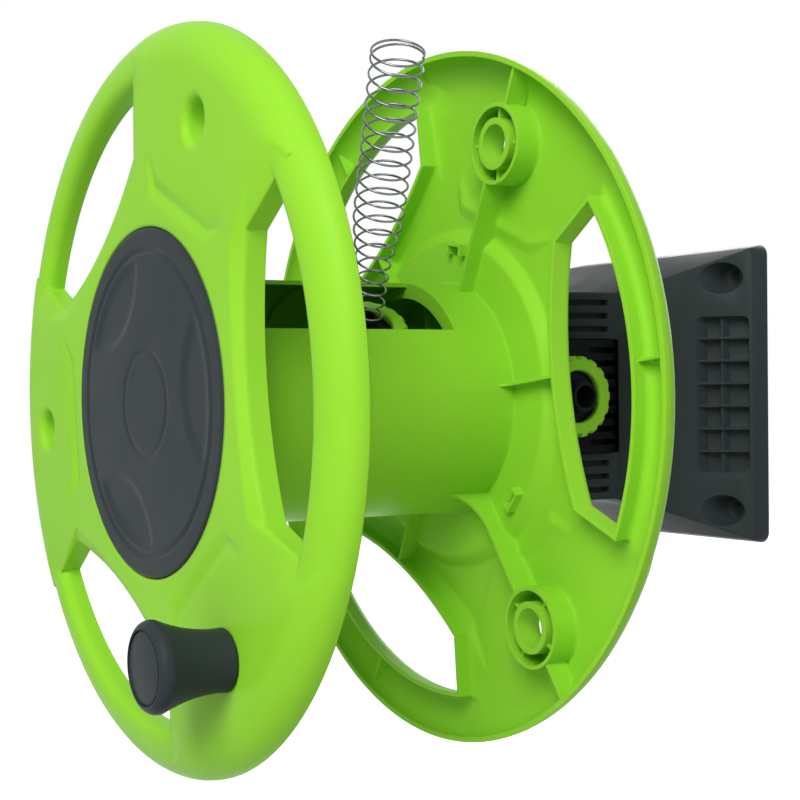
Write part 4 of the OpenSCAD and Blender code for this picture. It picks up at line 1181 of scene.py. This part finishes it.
@dataclass
class Studio:
    """Pale floor, soft light and the camera.

    Attributes:
        floor_z: Height of the floor.
        floor_w: Length of the floor's side.
        floor_tone: Grey of the floor, linear.
        fade_r: Distances from the floor's middle between which it turns white.
        fade_tone: How bright it glows at those two.
        sky: Strength of the light from all round.
        place: The camera's place.
        azimuth: The camera's turn from the row's +Y, in degrees.
        elevation: The camera's height over the horizon, in degrees.
        roll: The camera's roll, in degrees.
        lens: Focal length, in millimetres.
        sensor: Width of the sensor, in millimetres.
        shift: The camera's sideways and upward shift.
    """

    floor_z: float = -0.75
    floor_w: float = 12.0
    floor_tone: float = 0.6
    fade_r: Point = (0.5, 2.2)
    fade_tone: Point = (0.68, 1.0)
    sky: float = 0.22
    place: Triple = (0.769, -0.6909, 0.0048)
    azimuth: float = 60.68
    elevation: float = 1.363
    roll: float = -0.795
    lens: float = 72.335
    sensor: float = 36.0
    shift: Point = (0.1145, 0.0378)

    def build(self) -> None:
        """Sets up the whole studio."""
        self._floor()
        self._world()
        for lamp in LAMPS:
            lamp.build()
        self._camera()
        bpy.context.scene.view_settings.view_transform = "Standard"

    def _floor(self) -> None:
        """Lays the pale floor."""
        Bench.clear()
        bpy.ops.mesh.primitive_plane_add(size=self.floor_w, location=(0, 0, self.floor_z))
        floor = bpy.context.active_object
        floor.name = "studio_floor"
        material = bpy.data.materials.new("floor_pale")
        material.use_nodes = True
        tree = material.node_tree
        shader = tree.nodes["Principled BSDF"]
        shader.inputs["Base Color"].default_value = (*(self.floor_tone,) * 3, 1.0)
        shader.inputs["Roughness"].default_value = 0.9
        glow = tree.nodes.new("ShaderNodeEmission")
        place = tree.nodes.new("ShaderNodeTexCoord")
        away = tree.nodes.new("ShaderNodeVectorMath")
        away.operation = "LENGTH"
        fade = mapped(tree, self.fade_r, self.fade_tone)
        add = tree.nodes.new("ShaderNodeAddShader")
        blend = tree.nodes.new("ShaderNodeMixShader")
        tree.links.new(place.outputs["Object"], away.inputs[0])
        tree.links.new(away.outputs["Value"], fade.inputs["Value"])
        tree.links.new(fade.outputs["Result"], glow.inputs["Strength"])
        tree.links.new(shader.outputs["BSDF"], add.inputs[0])
        tree.links.new(glow.outputs["Emission"], add.inputs[1])
        tree.links.new(self._seen(tree), blend.inputs["Fac"])
        tree.links.new(shader.outputs["BSDF"], blend.inputs[1])
        tree.links.new(add.outputs["Shader"], blend.inputs[2])
        tree.links.new(blend.outputs["Shader"], tree.nodes["Material Output"].inputs["Surface"])
        floor.data.materials.append(material)

    @staticmethod
    def _seen(tree: bpy.types.NodeTree) -> bpy.types.NodeSocket:
        """Factor that is 1 where the camera, a reflection or glass looks at a surface.

        Args:
            tree: Node tree of the surface or the world.

        Returns:
            The factor.
        """
        light = tree.nodes.new("ShaderNodeLightPath")
        total = light.outputs["Is Camera Ray"]
        for name in ("Is Glossy Ray", "Is Transmission Ray"):
            add = tree.nodes.new("ShaderNodeMath")
            add.operation = "ADD"
            add.use_clamp = True
            tree.links.new(total, add.inputs[0])
            tree.links.new(light.outputs[name], add.inputs[1])
            total = add.outputs["Value"]
        return total

    def _world(self) -> None:
        """Lights the scene all round and shows white behind it."""
        world = bpy.data.worlds.new("studio_world")
        bpy.context.scene.world = world
        world.use_nodes = True
        tree = world.node_tree
        soft = tree.nodes["Background"]
        soft.inputs["Color"].default_value = (1, 1, 1, 1)
        soft.inputs["Strength"].default_value = self.sky
        white = tree.nodes.new("ShaderNodeBackground")
        white.inputs["Color"].default_value = (1, 1, 1, 1)
        white.inputs["Strength"].default_value = 1.0
        blend = tree.nodes.new("ShaderNodeMixShader")
        tree.links.new(self._seen(tree), blend.inputs["Fac"])
        tree.links.new(soft.outputs["Background"], blend.inputs[1])
        tree.links.new(white.outputs["Background"], blend.inputs[2])
        tree.links.new(blend.outputs["Shader"], tree.nodes["World Output"].inputs["Surface"])

    def _camera(self) -> None:
        """Puts the camera where the photograph was taken from."""
        az, el, roll = (math.radians(a) for a in (self.azimuth, self.elevation, self.roll))
        ahead = Vector((-math.sin(az) * math.cos(el), math.cos(az) * math.cos(el), -math.sin(el)))
        right = Vector((math.cos(az), math.sin(az), 0))
        up = right.cross(ahead)
        side = right * math.cos(roll) + up * math.sin(roll)
        top = up * math.cos(roll) - right * math.sin(roll)
        camera = bpy.data.cameras.new("photo_camera")
        camera.lens = self.lens
        camera.sensor_width = self.sensor
        camera.shift_x, camera.shift_y = self.shift
        holder = bpy.data.objects.new("photo_camera", camera)
        bpy.context.scene.collection.objects.link(holder)
        turn = Matrix((side, top, -ahead)).transposed().to_4x4()
        holder.matrix_world = Matrix.Translation(self.place) @ turn
        bpy.context.scene.camera = holder


def main() -> None:
    """Builds the reel and its studio."""
    logging.basicConfig(level=logging.INFO, format="%(name)s: %(message)s")
    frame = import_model()
    Reel(Dresser(frame)).build()
    Studio().build()


if __name__ == "__main__":
    main()
